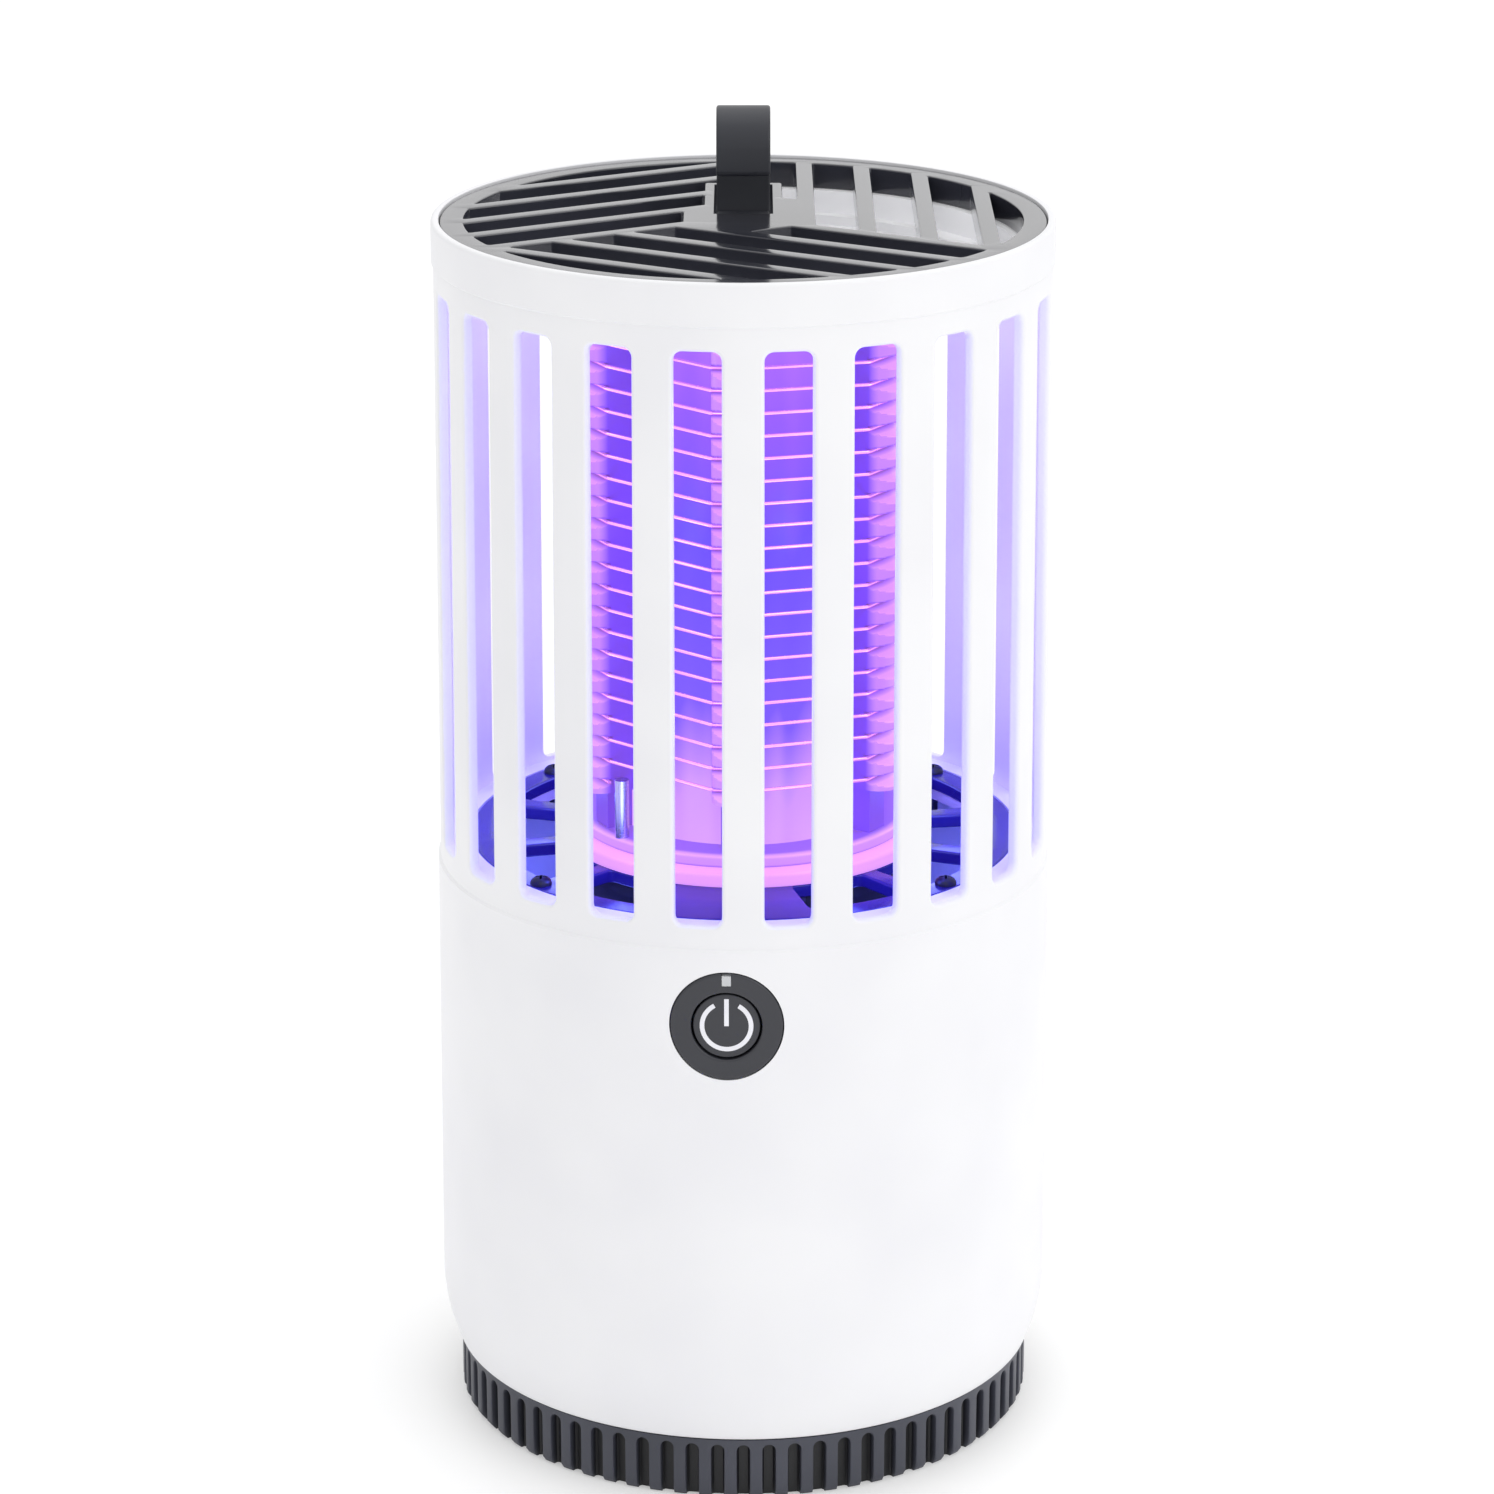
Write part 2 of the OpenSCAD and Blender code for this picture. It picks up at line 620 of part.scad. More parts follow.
// ---------------------------------------------------------------- core
pod_z = button_z - pod_floor_drop;
pod_top = deck_z - deck_t;
cover_boss_degs = [0, 120, 240];
cover_boss_r = core_in - 2.2;
module pod(w) {
  difference() {
    front_box(w, core_in + 0.2, pod_front, pod_z, pod_top);
    front_box(w - 2 * pod_wall, 0, pod_front + past, pod_z + pod_wall, pod_top - pod_wall);
  }
}
module core_housing() {
  color("#3b3f4a") difference() {
    union() {
      difference() {
        union() {
          tube(core_in, core_r, core_foot, disc_z);
          translate([0, 0, disc_z - 2]) cylinder(h = 2, r = core_in + 0.1, $fn = 180);
        }
        side(inner_yaw) front_box(front_pod_w - 2 * pod_wall, core_in - 4, core_r + past,
          pod_z + pod_wall, pod_top - pod_wall);
        side(rear_yaw) front_box(rear_pod_w - 2 * pod_wall, core_in - 4, core_r + past,
          pod_z + pod_wall, pod_top - pod_wall);
      }
      side(inner_yaw) pod(front_pod_w);
      side(rear_yaw) pod(rear_pod_w);
      // flange under the deck: the screws of the disc pull it up against the deck
      tube(core_r - 0.5, hole_r1 - 0.4, pod_top - 1.8, pod_top);
      for (a = cover_boss_degs) translate(polar(cover_boss_r, a, core_foot)) cylinder(h = 9, d = boss_d);
      for (a = disc_boss_degs) translate(polar(disc_boss_r, a, disc_z - 9)) cylinder(h = 8, d = boss_d);
    }
    for (a = cover_boss_degs) screw_hole(cover_boss_r, a, core_foot - past, core_foot + 8, 1.8);
    for (a = disc_boss_degs) screw_hole(disc_boss_r, a, disc_z - 8, disc_z + past, 2);
    translate([0, 0, disc_z - 5]) cylinder(h = 6, d = 6);
    for (a = wire_starts)
      screw_hole(grid_r, a + inner_yaw + terminal_deg, disc_z - 6, disc_z + past, 3);
  }
}
module core_cover() {
  color("#3b3f4a") difference() {
    union() {
      translate([0, 0, core_z]) cylinder(h = cover_t, r = core_r, $fn = 180);
      tube(core_in - 1.6, core_in - fit, core_foot - 0.5, core_foot + 1.6);
    }
    for (a = cover_boss_degs) {
      screw_hole(cover_boss_r, a, core_z - past, core_foot, 2.2);
      screw_hole(cover_boss_r, a, core_foot, core_foot + 3, 5.6);
    }
  }
}
module cover_screws() {
  color("#8c8f98") for (a = cover_boss_degs) translate(polar(cover_boss_r, a, core_z))
    mirror([0, 0, 1]) screw(0, 0, 0, 8, 3.4, 1.8);
}

// ---------------------------------------------------------------- electronics
cell_y = 13.5;
cell_z = core_foot + 4;
pcb_y = -1.6;
pcb_t = 1.6;
pcb_w = 44;
pcb_z = core_foot + 3;
pcb_h = 62;
pcb_front = pcb_y - pcb_t;
module battery_cell() {
  color("#4f8f6a") {
    translate([0, cell_y, cell_z]) cylinder(h = cell_h - 1.2, d = cell_d);
    translate([0, cell_y, cell_z + cell_h - 1.2]) cylinder(h = 1.2, d = 6);
  }
}
module battery_cradle() {
  cradle_d = cell_d + 3.4;
  color("#26282e") difference() {
    union() {
      translate([0, cell_y, cell_z + 5]) cylinder(h = cell_h - 14, d = cradle_d);
      translate([-6, pcb_y, cell_z + 5]) cube([12, cell_y - pcb_y - cell_d / 2, cell_h - 14]);
    }
    translate([0, cell_y, cell_z]) cylinder(h = cell_h, d = cell_d + 2 * fit);
    translate([-5, cell_y, cell_z]) cube([10, cradle_d, cell_h]);
  }
}
module main_board() {
  color("#1f6b45") difference() {
    translate([-pcb_w / 2, pcb_front, pcb_z]) cube([pcb_w, pcb_t, pcb_h]);
    for (x = [-1, 1], z = [4, pcb_h - 4]) translate([x * (pcb_w / 2 - 3), pcb_front - past, pcb_z + z])
      rotate([-90, 0, 0]) cylinder(h = pcb_t + 2 * past, d = 2.4);
  }
}
module board_parts() {
  color("#202226") {
    translate([-16, pcb_front - 1.6, pcb_z + 30]) cube([6, 1.6, 5]);
    translate([-6, pcb_front - 1.8, pcb_z + 9]) cube([5, 1.8, 6]);
    for (i = [0 : 3]) translate([9 + 3 * i, pcb_front - 0.6, pcb_z + 34]) cube([1.6, 0.6, 3.2]);
    translate([12, pcb_front, pcb_z + 48]) rotate([90, 0, 0]) cylinder(h = 4, d = 6);
  }
}
module hv_transformer() {
  z = pcb_z + 37;
  color("#3a3a3d") translate([-8, pcb_front - 12, z]) difference() {
    cube([16, 12, 14]);
    translate([3, -past, 3]) cube([10, 12 + 2 * past, 8]);
  }
  color("#c88a2a") translate([-4.9, pcb_front - 11, z + 3]) cube([9.8, 10, 8]);
}
module storage_capacitors() {
  color("#b5452c") for (x = [-13, 13]) translate([x, pcb_front - 4.6, pcb_z + 12])
    cylinder(h = 14, d = 9);
}
lead_sides = 8;
across_x = [1, 0, 0];
module battery_leads() {
  cell_top = cell_z + cell_h;
  behind = pcb_y + 0.8;
  color("#c03030") swept_wire([[3.85, cell_y - 0.2, cell_top - 0.3], [3.2, 11, cell_top + 0.7],
    [7.5, 5, cell_top + 0.6],
    [9, 1, cell_top - 1.5], [9, behind, cell_top - 5], [9, behind, pcb_z + pcb_h - 14]],
    1.4, across_x, lead_sides);
  color("#202020") swept_wire([[0, cell_y - 5, cell_z - 0.9], [-5, 5.5, cell_z - 1], [-9, 1.5, cell_z],
    [-11, behind, cell_z + 3], [-11, behind, pcb_z + 12]], 1.4, across_x, lead_sides);
}
module lamp_leads() {
  color("#d9d9d9") for (s = [-1, 1])
    swept_wire([[s * 1.2, -0.4, lamp_z + board_t - 0.6], [s * 1.2, -0.4, disc_z - 5],
      [s * 1.4, -2, disc_z - 8], [s * 2, -4.4, disc_z - 10.5], [s * 3, pcb_front - 0.8, pcb_z + pcb_h - 6]],
      1.2, across_x, lead_sides);
}
module grid_leads() {
  for (a = wire_starts) {
    p = polar(grid_r, a + inner_yaw + terminal_deg, disc_z - 2);
    board_face = p[1] > 0 ? pcb_y + 0.9 : pcb_front - 0.9;
    color("#b03050") swept_wire([p, [p[0], p[1], p[2] - 0.6], [0.88 * p[0], 0.88 * p[1], p[2] - 4.5],
      [0.8 * p[0], 0.7 * p[1], p[2] - 9], [sign(p[0]) * 17, board_face, pcb_z + pcb_h - 6],
      [sign(p[0]) * 17, board_face, pcb_z + pcb_h - 12]], 1.4, across_x, lead_sides);
  }
}
module switch_leads() {
  color("#4a6fb5") side(inner_yaw) for (s = [-1, 1])
    swept_wire([[s * 6, -(switch_back - 1.6), button_z - 5], [s * 6, -(switch_back - 5), button_z - 6],
      [s * 6, -core_in + 4, button_z - 7], [s * 6, -18, pcb_z + 35], [s * 5, -12, pcb_z + 33],
      [s * 5, pcb_front - 0.6, pcb_z + 29]], 1, across_x, lead_sides);
}

// ---------------------------------------------------------------- button
// two shallow finger dishes, left and right of the cap
module finger_dishes() {
  dish_r = 17;
  for (s = [-1, 1]) translate([s * 1.4, -(face_r + dish_r - 0.85), button_z]) sphere(r = dish_r, $fn = 96);
}
module button_bezel() {
  color("#4d4e55") side(inner_yaw) difference() {
    intersection() {
      union() {
        radial(bezel_back, face_r + 2, button_z, bezel_d);
        radial(bezel_back, bezel_back + 1.4, button_z, bezel_d + 3.2);
      }
      inside_skin(-0.12);
    }
    finger_dishes();
    radial(bezel_back - past, face_r + 3, button_z, cap_d + 2 * button_gap);
    radial(bezel_back - past, cap_back + cap_flange_t + button_gap, button_z, cap_d + 2.9);
    front_box(pipe_w, bezel_back - past, face_r + 3, pipe_z - pipe_h / 2, pipe_z + 4);
  }
}
module symbol_2d() {
  difference() {
    ring_2d(symbol_r - symbol_w, symbol_r);
    polygon([[0, 0], [-3.4, 6], [3.4, 6]]);
  }
  translate([-symbol_w / 2, 0]) square([symbol_w, symbol_r + 0.3]);
}
module button_cap() {
  color("#4d4e55") side(inner_yaw) difference() {
    union() {
      intersection() {
        radial(cap_back, face_r + 2, button_z, cap_d);
        inside_skin(cap_face_sink);
      }
      radial(cap_back, cap_back + cap_flange_t, button_z, cap_d + 2.2);
      radial(stem_end, cap_back, button_z, stem_d);
    }
    intersection() {
      outwards(face_r - 3, face_r + 2, button_z) symbol_2d();
      difference() {
        inside_skin(-3);
        inside_skin(cap_face_sink + symbol_sink);
      }
    }
  }
}
module power_symbol() {
  color("#e8e8ee") side(inner_yaw) intersection() {
    outwards(face_r - 3, face_r + 2, button_z) symbol_2d();
    difference() {
      inside_skin(cap_face_sink - 0.05);
      inside_skin(cap_face_sink + symbol_sink);
    }
  }
}
module switch_plunger() {
  color("#202226") side(inner_yaw) radial(stem_end - plunger_l, stem_end, button_z, plunger_d);
}
module push_switch() {
  color("#1c1d21") side(inner_yaw) difference() {
    front_box(switch_w, switch_back, switch_front, button_z - switch_w / 2, button_z + switch_w / 2);
    radial(switch_back + 0.2, switch_front + past, button_z, plunger_d + 0.7);
  }
}
module switch_board() {
  color("#1f6b45") side(inner_yaw)
    front_box(19, switch_back - 1.6, switch_back, button_z - 9, button_z + 10);
}
module status_led() {
  color("#f4f0d8") side(inner_yaw)
    front_box(1.6, switch_back, switch_back + 1.2, pipe_z - 0.8, pipe_z + 0.8);
}
module status_light_pipe() {
  color("#f2f4f6") side(inner_yaw) intersection() {
    front_box(pipe_w, switch_back + 1.4, face_r + 2, pipe_z - pipe_h / 2, pipe_z + pipe_h / 2);
    inside_skin(-0.05);
  }
}

// ---------------------------------------------------------------- charging inlet
inlet_front = pocket_r - 0.6;
module charging_inlet() {
  color("#b8bac0") side(rear_yaw) difference() {
    outwards(inlet_front - 7.3, inlet_front, inlet_z) round_rect(plug_w, plug_h, 1.5);
    outwards(inlet_front - 6.8, inlet_front + past, inlet_z) difference() {
      round_rect(plug_w - 0.8, plug_h - 0.8, 1.15);
      square([6.6, 0.8], center = true);
    }
  }
}
module charge_board() {
  color("#1f6b45") side(rear_yaw)
    front_box(14, core_r + 3, inlet_front - 2, inlet_z - plug_h / 2 - 1.2, inlet_z - plug_h / 2);
}
module inlet_flap() {
  color("#4a4c54") side(rear_yaw) {
    intersection() {
      front_box(flap_w, pocket_r + 0.3, face_r + 3, inlet_z - flap_h / 2, hinge_z);
      inside_skin(0.1);
    }
    translate([-flap_w / 2 + 2, -hinge_r, hinge_z]) rotate([0, 90, 0])
      cylinder(h = flap_w - 4, r = barrel_r, $fn = 32);
    outwards(inlet_front + 0.2, pocket_r + 0.4, inlet_z) round_rect(plug_w, plug_h, 1.5);
  }
}

// ---------------------------------------------------------------- tray
module collection_tray() {
  color("#33363f") difference() {
    union() {
      translate([0, 0, pad_t]) cylinder(h = tray_h - pad_t, r = tray_r, $fn = 180);
      translate([0, 0, pad_t]) cylinder(h = tray_lip_t, r = tray_r + tray_lip, $fn = 180);
    }
    translate([0, 0, pad_t + tray_floor]) cylinder(h = tray_h, r = tray_r - tray_wall, $fn = 180);
  }
}
module flutes() {
  flute_w = PI * ring_d / rib_count / 2;
  arch_z = ring_top - 1 - flute_w / 2;
  for (i = [0 : rib_count - 1]) side((i + 0.5) * 360 / rib_count) {
    front_box(flute_w, ring_r - flute_depth, ring_r + past, -past, arch_z);
    radial(ring_r - flute_depth, ring_r + past, arch_z, flute_w);
  }
}
module lock_ring() {
  color("#454852") difference() {
    union() {
      tube(ring_in, ring_r, 0, ring_top);
      tube(ring_in, neck_r, ring_top - 1, lug_z + lug_t);
      for (k = [0 : 2]) side(120 * k) intersection() {
        tube(ring_in, lug_r, lug_z, lug_z + lug_t);
        linear_extrude(40) pie(2 * body_r, lug_deg);
      }
    }
    translate([0, 0, -past]) cylinder(h = ring_notch_z + past, r = ring_notch_r, $fn = 180);
    flutes();
  }
}
module foot_pads() {
  color("#1d1e22") for (a = [45 : 90 : 315]) translate(polar(34, a, 0)) cylinder(h = pad_t, d = 8);
}

housing();
top_grille();
hook();
hook_pin();
lamp_cap();
cap_screws();
comb_frame();
grid_wire_a();
grid_wire_b();
grid_terminals();
light_tube();
uv_led_board();
uv_leds();
lamp_disc();
disc_screws();
drop_deck();
deck_screws();
core_housing();
core_cover();
cover_screws();
battery_cell();
battery_cradle();
main_board();
board_parts();
hv_transformer();
storage_capacitors();
battery_leads();
lamp_leads();
grid_leads();
switch_leads();
button_bezel();
button_cap();
power_symbol();
switch_plunger();
push_switch();
switch_board();
status_led();
status_light_pipe();
charging_inlet();
charge_board();
inlet_flap();
collection_tray();
lock_ring();
foot_pads();
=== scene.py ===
# %% [markdown]
# # A rechargeable electric bug zapper
# A white drum with upright windows stands round a glowing high-voltage grid. Insects fly in through the
# windows, touch the wires, and fall through the deck into a tray that twists off. This lesson dresses the
# fixed CAD model: the visible pieces are built again with rounded edges, and every piece gets its finish.

# %% Load the fixed model
import json
import math

import bmesh
import bpy
from mathutils import Matrix, Vector
from mathutils.geometry import delaunay_2d_cdt


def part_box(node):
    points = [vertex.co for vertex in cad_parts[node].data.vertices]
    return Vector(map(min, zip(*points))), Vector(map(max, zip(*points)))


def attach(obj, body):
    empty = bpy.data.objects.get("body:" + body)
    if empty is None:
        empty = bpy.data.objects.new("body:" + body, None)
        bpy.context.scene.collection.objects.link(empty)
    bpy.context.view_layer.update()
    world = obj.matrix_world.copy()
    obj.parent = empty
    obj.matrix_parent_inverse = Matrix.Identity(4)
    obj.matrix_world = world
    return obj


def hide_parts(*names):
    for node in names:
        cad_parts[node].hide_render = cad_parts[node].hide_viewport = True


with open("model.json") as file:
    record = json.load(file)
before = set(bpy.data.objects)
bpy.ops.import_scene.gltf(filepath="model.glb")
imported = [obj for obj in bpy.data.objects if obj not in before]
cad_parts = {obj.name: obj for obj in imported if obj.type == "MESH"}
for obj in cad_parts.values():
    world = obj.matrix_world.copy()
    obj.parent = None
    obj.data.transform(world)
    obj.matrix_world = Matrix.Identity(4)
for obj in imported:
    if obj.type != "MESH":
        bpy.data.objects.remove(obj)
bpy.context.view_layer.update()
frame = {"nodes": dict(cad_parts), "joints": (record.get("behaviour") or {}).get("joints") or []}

scene = bpy.context.scene

# %% [markdown]
# Small moulded things are easiest to think about in millimetres, while Blender counts in metres. So shapes
# are worked out in millimetres, and one helper brings every mesh to metres when it is made. Directions round
# the drum are given in degrees from the front, turning to the right.

# %% Units and places
MM = 0.001


def box_mm(node):
    """Lowest and highest corner of a CAD node, in millimetres."""
    low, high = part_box(node)
    return low / MM, high / MM


def turned(radius, degrees, height=0.0):
    """The point at that radius and height, turned from the front towards +X."""
    turn = math.radians(degrees)
    return Vector((radius * math.sin(turn), -radius * math.cos(turn), height))


def spun(degrees):
    """A matrix that turns a piece about the drum's axis."""
    return Matrix.Rotation(math.radians(degrees), 4, "Z")


print("ten millimetres out at the right:", [round(c, 1) for c in turned(10, 90)])

# %% [markdown]
# The main heights and radii are read from the CAD pieces, so the looks always fit the model underneath. A few
# sizes that no box can tell, such as the draft of the moulded wall, are named here once.

# %% Read the main sizes
drum_low, drum_high = box_mm("housing")
body_r = drum_high.x
rim_z = drum_high.z
skirt_z = drum_low.z
belt_z = skirt_z + 12
tuck_in = 2.5
draft = math.tan(math.radians(0.4))
wall = 2.2
window_count = 22
window_w = 7.7
window_top = rim_z - 11
window_z = window_top - 94.4
yaw = -3.0
grille_low, grille_high = box_mm("top_grille")
grille_r = grille_high.x
deck_low, deck_high = box_mm("drop_deck")
tube_low, tube_high = box_mm("light_tube")
comb_high = box_mm("comb_frame")[1]
ring_high = box_mm("lock_ring")[1]
tray_low, tray_high = box_mm("collection_tray")
button_z = sum(c.z for c in box_mm("button_bezel")) / 2


def outer_r(z):
    """Outer radius of the drum at height z: a slight taper, with a rounded tuck-in at the foot."""
    if z >= belt_z:
        return body_r - (z - belt_z) * draft
    tuck_h = belt_z - skirt_z
    tuck_r = (tuck_h**2 + tuck_in**2) / (2 * tuck_in)
    return body_r - tuck_r + math.sqrt(tuck_r**2 - (belt_z - z) ** 2)


print(f"drum {2 * body_r:.0f} mm across, rim at {rim_z:.0f} mm")
print(f"windows {window_z:.1f} to {window_top:.0f} mm")

# %% [markdown]
# A camera is a real lens at a real distance. This one is a long lens, a little under a metre away and looking
# down at about eighteen degrees, so the sides of the drum stay nearly parallel and the top grille shows.

# %% Camera
camera_data = bpy.data.cameras.new("product_camera")
camera_data.sensor_width = 36
camera_data.lens = 117.0
camera_data.clip_start = 0.05
camera_data.clip_end = 20
camera = bpy.data.objects.new("product_camera", camera_data)
camera.location = (0.0006, -0.7823, 0.3746)
camera.rotation_euler = (math.radians(90 - 18.28), 0, 0)
scene.collection.objects.link(camera)
scene.camera = camera
print(f"lens {camera_data.lens:.0f} mm, {camera.location.length:.2f} m from the foot of the drum")

# %% [markdown]
# A node tree is built node by node. One helper is enough for shaders and for geometry alike: it makes a node,
# sets its options, and fills each input with a value or with a link from another node.

# %% A helper for nodes
def add_node(tree, kind, inputs=None, **settings):
    """One node with its settings; inputs maps a socket to a value, an output or a node's first output."""
    node = tree.nodes.new(kind)
    for key, value in settings.items():
        setattr(node, key, value)
    for key, value in (inputs or {}).items():
        if isinstance(value, bpy.types.Node):
            value = value.outputs[0]
        if isinstance(value, bpy.types.NodeSocket):
            tree.links.new(value, node.inputs[key])
        else:
            node.inputs[key].default_value = value
    return node


def linear(hex_colour, alpha=1.0):
    """An sRGB hex colour as the linear numbers that a shader expects."""
    parts = [int(hex_colour[i : i + 2], 16) / 255 for i in (1, 3, 5)]
    return tuple(c / 12.92 if c <= 0.04045 else ((c + 0.055) / 1.055) ** 2.4 for c in parts) + (alpha,)


print("middle grey as the shader takes it:", round(linear("#808080")[0], 3))

# %% [markdown]
# Most of the zapper is injection-moulded plastic. The mould leaves a fine spark-eroded grain that softens the
# shine, and flow marks change the gloss slightly over a few centimetres. Both are noise at a real size in
# millimetres: fine noise drives a bump, broad noise drives a small change of colour and roughness.

# %% Moulded plastic
def start_finish(name, colour, roughness, **constant):
    """A material whose constant values sit on the shader's own sockets."""
    material = bpy.data.materials.new(name)
    material.use_nodes = True
    tree = material.node_tree
    shader = tree.nodes["Principled BSDF"]
    shader.inputs["Base Color"].default_value = linear(colour)
    shader.inputs["Roughness"].default_value = roughness
    for label, value in constant.items():
        shader.inputs[label.replace("_", " ")].default_value = value
    return material, tree, shader


def fade_inwards(tree, place, low, high, least):
    """A factor that falls from 1 at radius high to least at radius low, both in mm from the axis."""
    flat = add_node(tree, "ShaderNodeVectorMath", {0: place, 1: (1, 1, 0)}, operation="MULTIPLY")
    away = add_node(tree, "ShaderNodeVectorMath", {0: flat}, operation="LENGTH")
    return add_node(tree, "ShaderNodeMapRange", {
        "Value": away.outputs["Value"], "From Min": low * MM, "From Max": high * MM, "To Min": least})


def moulded(name, light, dark, roughness, grain=0.35, height=0.006, flow=28.0, painted_flute_shade_r=None, **constant):
    """Moulded plastic: two near colours that drift over flow mm, and a bump of that grain and height in mm.

    Painted shade in deep flutes: inside the radius given for the flutes the colour falls off towards dark.
    """
    material, tree, shader = start_finish(name, light, roughness, **constant)
    place = add_node(tree, "ShaderNodeTexCoord").outputs["Object"]
    broad = add_node(tree, "ShaderNodeTexNoise", {"Vector": place, "Scale": 1 / (flow * MM), "Detail": 2.0})
    tint = add_node(tree, "ShaderNodeValToRGB", {0: broad})
    tint.color_ramp.elements[0].color = linear(dark)
    tint.color_ramp.elements[0].position = 0.3
    tint.color_ramp.elements[1].color = linear(light)
    tint.color_ramp.elements[1].position = 0.65
    gloss = add_node(tree, "ShaderNodeMapRange", {"Value": broad, "From Min": 0.3, "From Max": 0.7,
                                                  "To Min": roughness * 1.12, "To Max": roughness * 0.88})
    fine = add_node(tree, "ShaderNodeTexNoise", {"Vector": place, "Scale": 1 / (grain * MM), "Detail": 3.0})
    bump = add_node(tree, "ShaderNodeBump", {"Height": fine, "Strength": 0.5,
                                             "Distance": height * MM})
    # Painted shade: inside the flutes' radius the colour darkens, where shade falls.
    if painted_flute_shade_r:
        depth = fade_inwards(tree, place, painted_flute_shade_r - 1.2, painted_flute_shade_r - 0.1, 0.12)
        tint = add_node(tree, "ShaderNodeVectorMath", {0: tint, "Scale": depth},
                        operation="SCALE")
    tree.links.new(tint.outputs[0], shader.inputs["Base Color"])
    tree.links.new(gloss.outputs[0], shader.inputs["Roughness"])
    tree.links.new(bump.outputs[0], shader.inputs["Normal"])
    return material

# %% [markdown]
# Each plastic below is one call. Only what differs is given: two near colours, the roughness, and the size
# and height of the grain.

# %% The plastics
# White ABS: bright, satin, with a fine spark-eroded grain.
white_abs = moulded("white_ABS_fine_spark_finish", "#eeeef0", "#e9e9ec", 0.38, grain=0.45, height=0.003)
# Grey ABS: the grille is moulded smoother, and shows a satin gloss on its flat top.
grey_abs = moulded("charcoal_ABS_satin", "#34353e", "#2c2d35", 0.17, grain=0.6, height=0.0005,
                   Coat_Weight=0.7, Coat_Roughness=0.12)
# Dark polypropylene: slightly waxy, used for the hook.
hook_pp = moulded("dark_polypropylene", "#2a2c34", "#23252c", 0.38, grain=0.3, height=0.004)
# Dark ribs: matte ABS with a coarser grain that hides finger marks, and a painted shade inside the deep
# flutes.
ring_abs = moulded("slate_ABS_matt_grain", "#41434e", "#393b45", 0.46, grain=0.32, height=0.006,
                   painted_flute_shade_r=ring_high.x - 0.3)
# The button is satin and finely grained, so that its two dishes catch the light.
button_abs = moulded("button_ABS_satin", "#34353b", "#2e2f35", 0.3, grain=0.22, height=0.003)
# The tray and the core are hidden most of the time, in plain dark ABS.
core_abs = moulded("inner_ABS_dark", "#2c2f3a", "#252731", 0.45, grain=0.4, height=0.01)
# The deck is glossy dark plastic, so that insects slide off; its violet glow is painted light from the lamp.
deck_abs = moulded("deck_ABS_gloss_navy", "#1b1a5e", "#15134e", 0.2, grain=1.2, height=0.002,
                   Emission_Color=linear("#2418b0"), Emission_Strength=0.35)
# The cap above the lamp is thin white ABS; its faint white glow is painted light that brightens it where it
# lies in shade under the grille.
lamp_white = moulded("lamp_ABS_white", "#f4f4f6", "#eeeef1", 0.35, grain=0.5, height=0.004,
                     Emission_Color=linear("#f0f0f2"), Emission_Strength=0.2)
print(len(bpy.data.materials), "plastics so far")

# %% [markdown]
# The lit pieces are the heart of the look. The light tube is frosted polycarbonate with violet diodes at its
# foot: the light is strongest low down and turns pinker towards the top. The combs and the disc are pale
# insulating plastic given painted light: a glow that stands in for the tube's light falling on them.

# %% Lit plastics
def lit(name, base, stops, strength, roughness=0.4, streak=0.0, shade=0.0, groove_shade_at=None):
    """Glowing plastic: stops are (height in mm, colour); streaks run upright, and shade is a painted shade on
    undersides.

    Where a groove's radius is given, the glow fades towards it: a painted shade in the deep notch.
    """
    material, tree, shader = start_finish(name, base, roughness, Emission_Strength=strength)
    place = add_node(tree, "ShaderNodeTexCoord").outputs["Object"]
    parts = add_node(tree, "ShaderNodeSeparateXYZ", {0: place})
    low, high = stops[0][0], stops[-1][0]
    level = add_node(tree, "ShaderNodeMapRange", {"Value": parts.outputs["Z"], "From Min": low * MM,
                                                  "From Max": high * MM})
    stretch = add_node(tree, "ShaderNodeMapping", {"Vector": place, "Scale": (1, 1, 0.04)})
    cloud = add_node(tree, "ShaderNodeTexNoise", {"Vector": stretch, "Scale": 1 / (5 * MM),
                                                  "Detail": 1.0})
    shift = add_node(tree, "ShaderNodeMath", {0: cloud, 1: 0.5}, operation="SUBTRACT")
    mixed = add_node(tree, "ShaderNodeMath", {0: shift, 1: streak, 2: level},
                     operation="MULTIPLY_ADD")
    glow = add_node(tree, "ShaderNodeValToRGB", {0: mixed})
    ramp = glow.color_ramp.elements
    for height, colour in stops[1:-1]:
        ramp.new((height - low) / (high - low)).color = linear(colour)
    ramp[0].color, ramp[-1].color = linear(stops[0][1]), linear(stops[-1][1])
    surface = add_node(tree, "ShaderNodeNewGeometry")
    facing = add_node(tree, "ShaderNodeSeparateXYZ", {0: surface.outputs["Normal"]})
    # Painted shade: the glow is weaker on faces that point downwards.
    power = add_node(tree, "ShaderNodeMapRange", {
        "Value": facing.outputs["Z"], "From Min": -0.9, "From Max": 0.6,
        "To Min": strength * (1 - shade), "To Max": strength})
    # Painted shade: the glow fades towards the groove's radius.
    if groove_shade_at:
        depth = fade_inwards(tree, place, groove_shade_at + 0.3, groove_shade_at + 2, 0.22)
        power = add_node(tree, "ShaderNodeMath", {0: power, 1: depth},
                         operation="MULTIPLY")
    fine = add_node(tree, "ShaderNodeTexNoise", {"Vector": place, "Scale": 1 / (0.6 * MM)})
    bump = add_node(tree, "ShaderNodeBump", {"Height": fine, "Strength": 0.4, "Distance": 0.01 * MM})
    tree.links.new(glow.outputs[0], shader.inputs["Emission Color"])
    tree.links.new(power.outputs[0], shader.inputs["Emission Strength"])
    tree.links.new(bump.outputs[0], shader.inputs["Normal"])
    return material

# %% [markdown]
# Heights are measured from the deck. The tube turns from pink at its foot through blue-violet to pink again,
# because the diodes stand at its foot and the white plate above throws their light back.

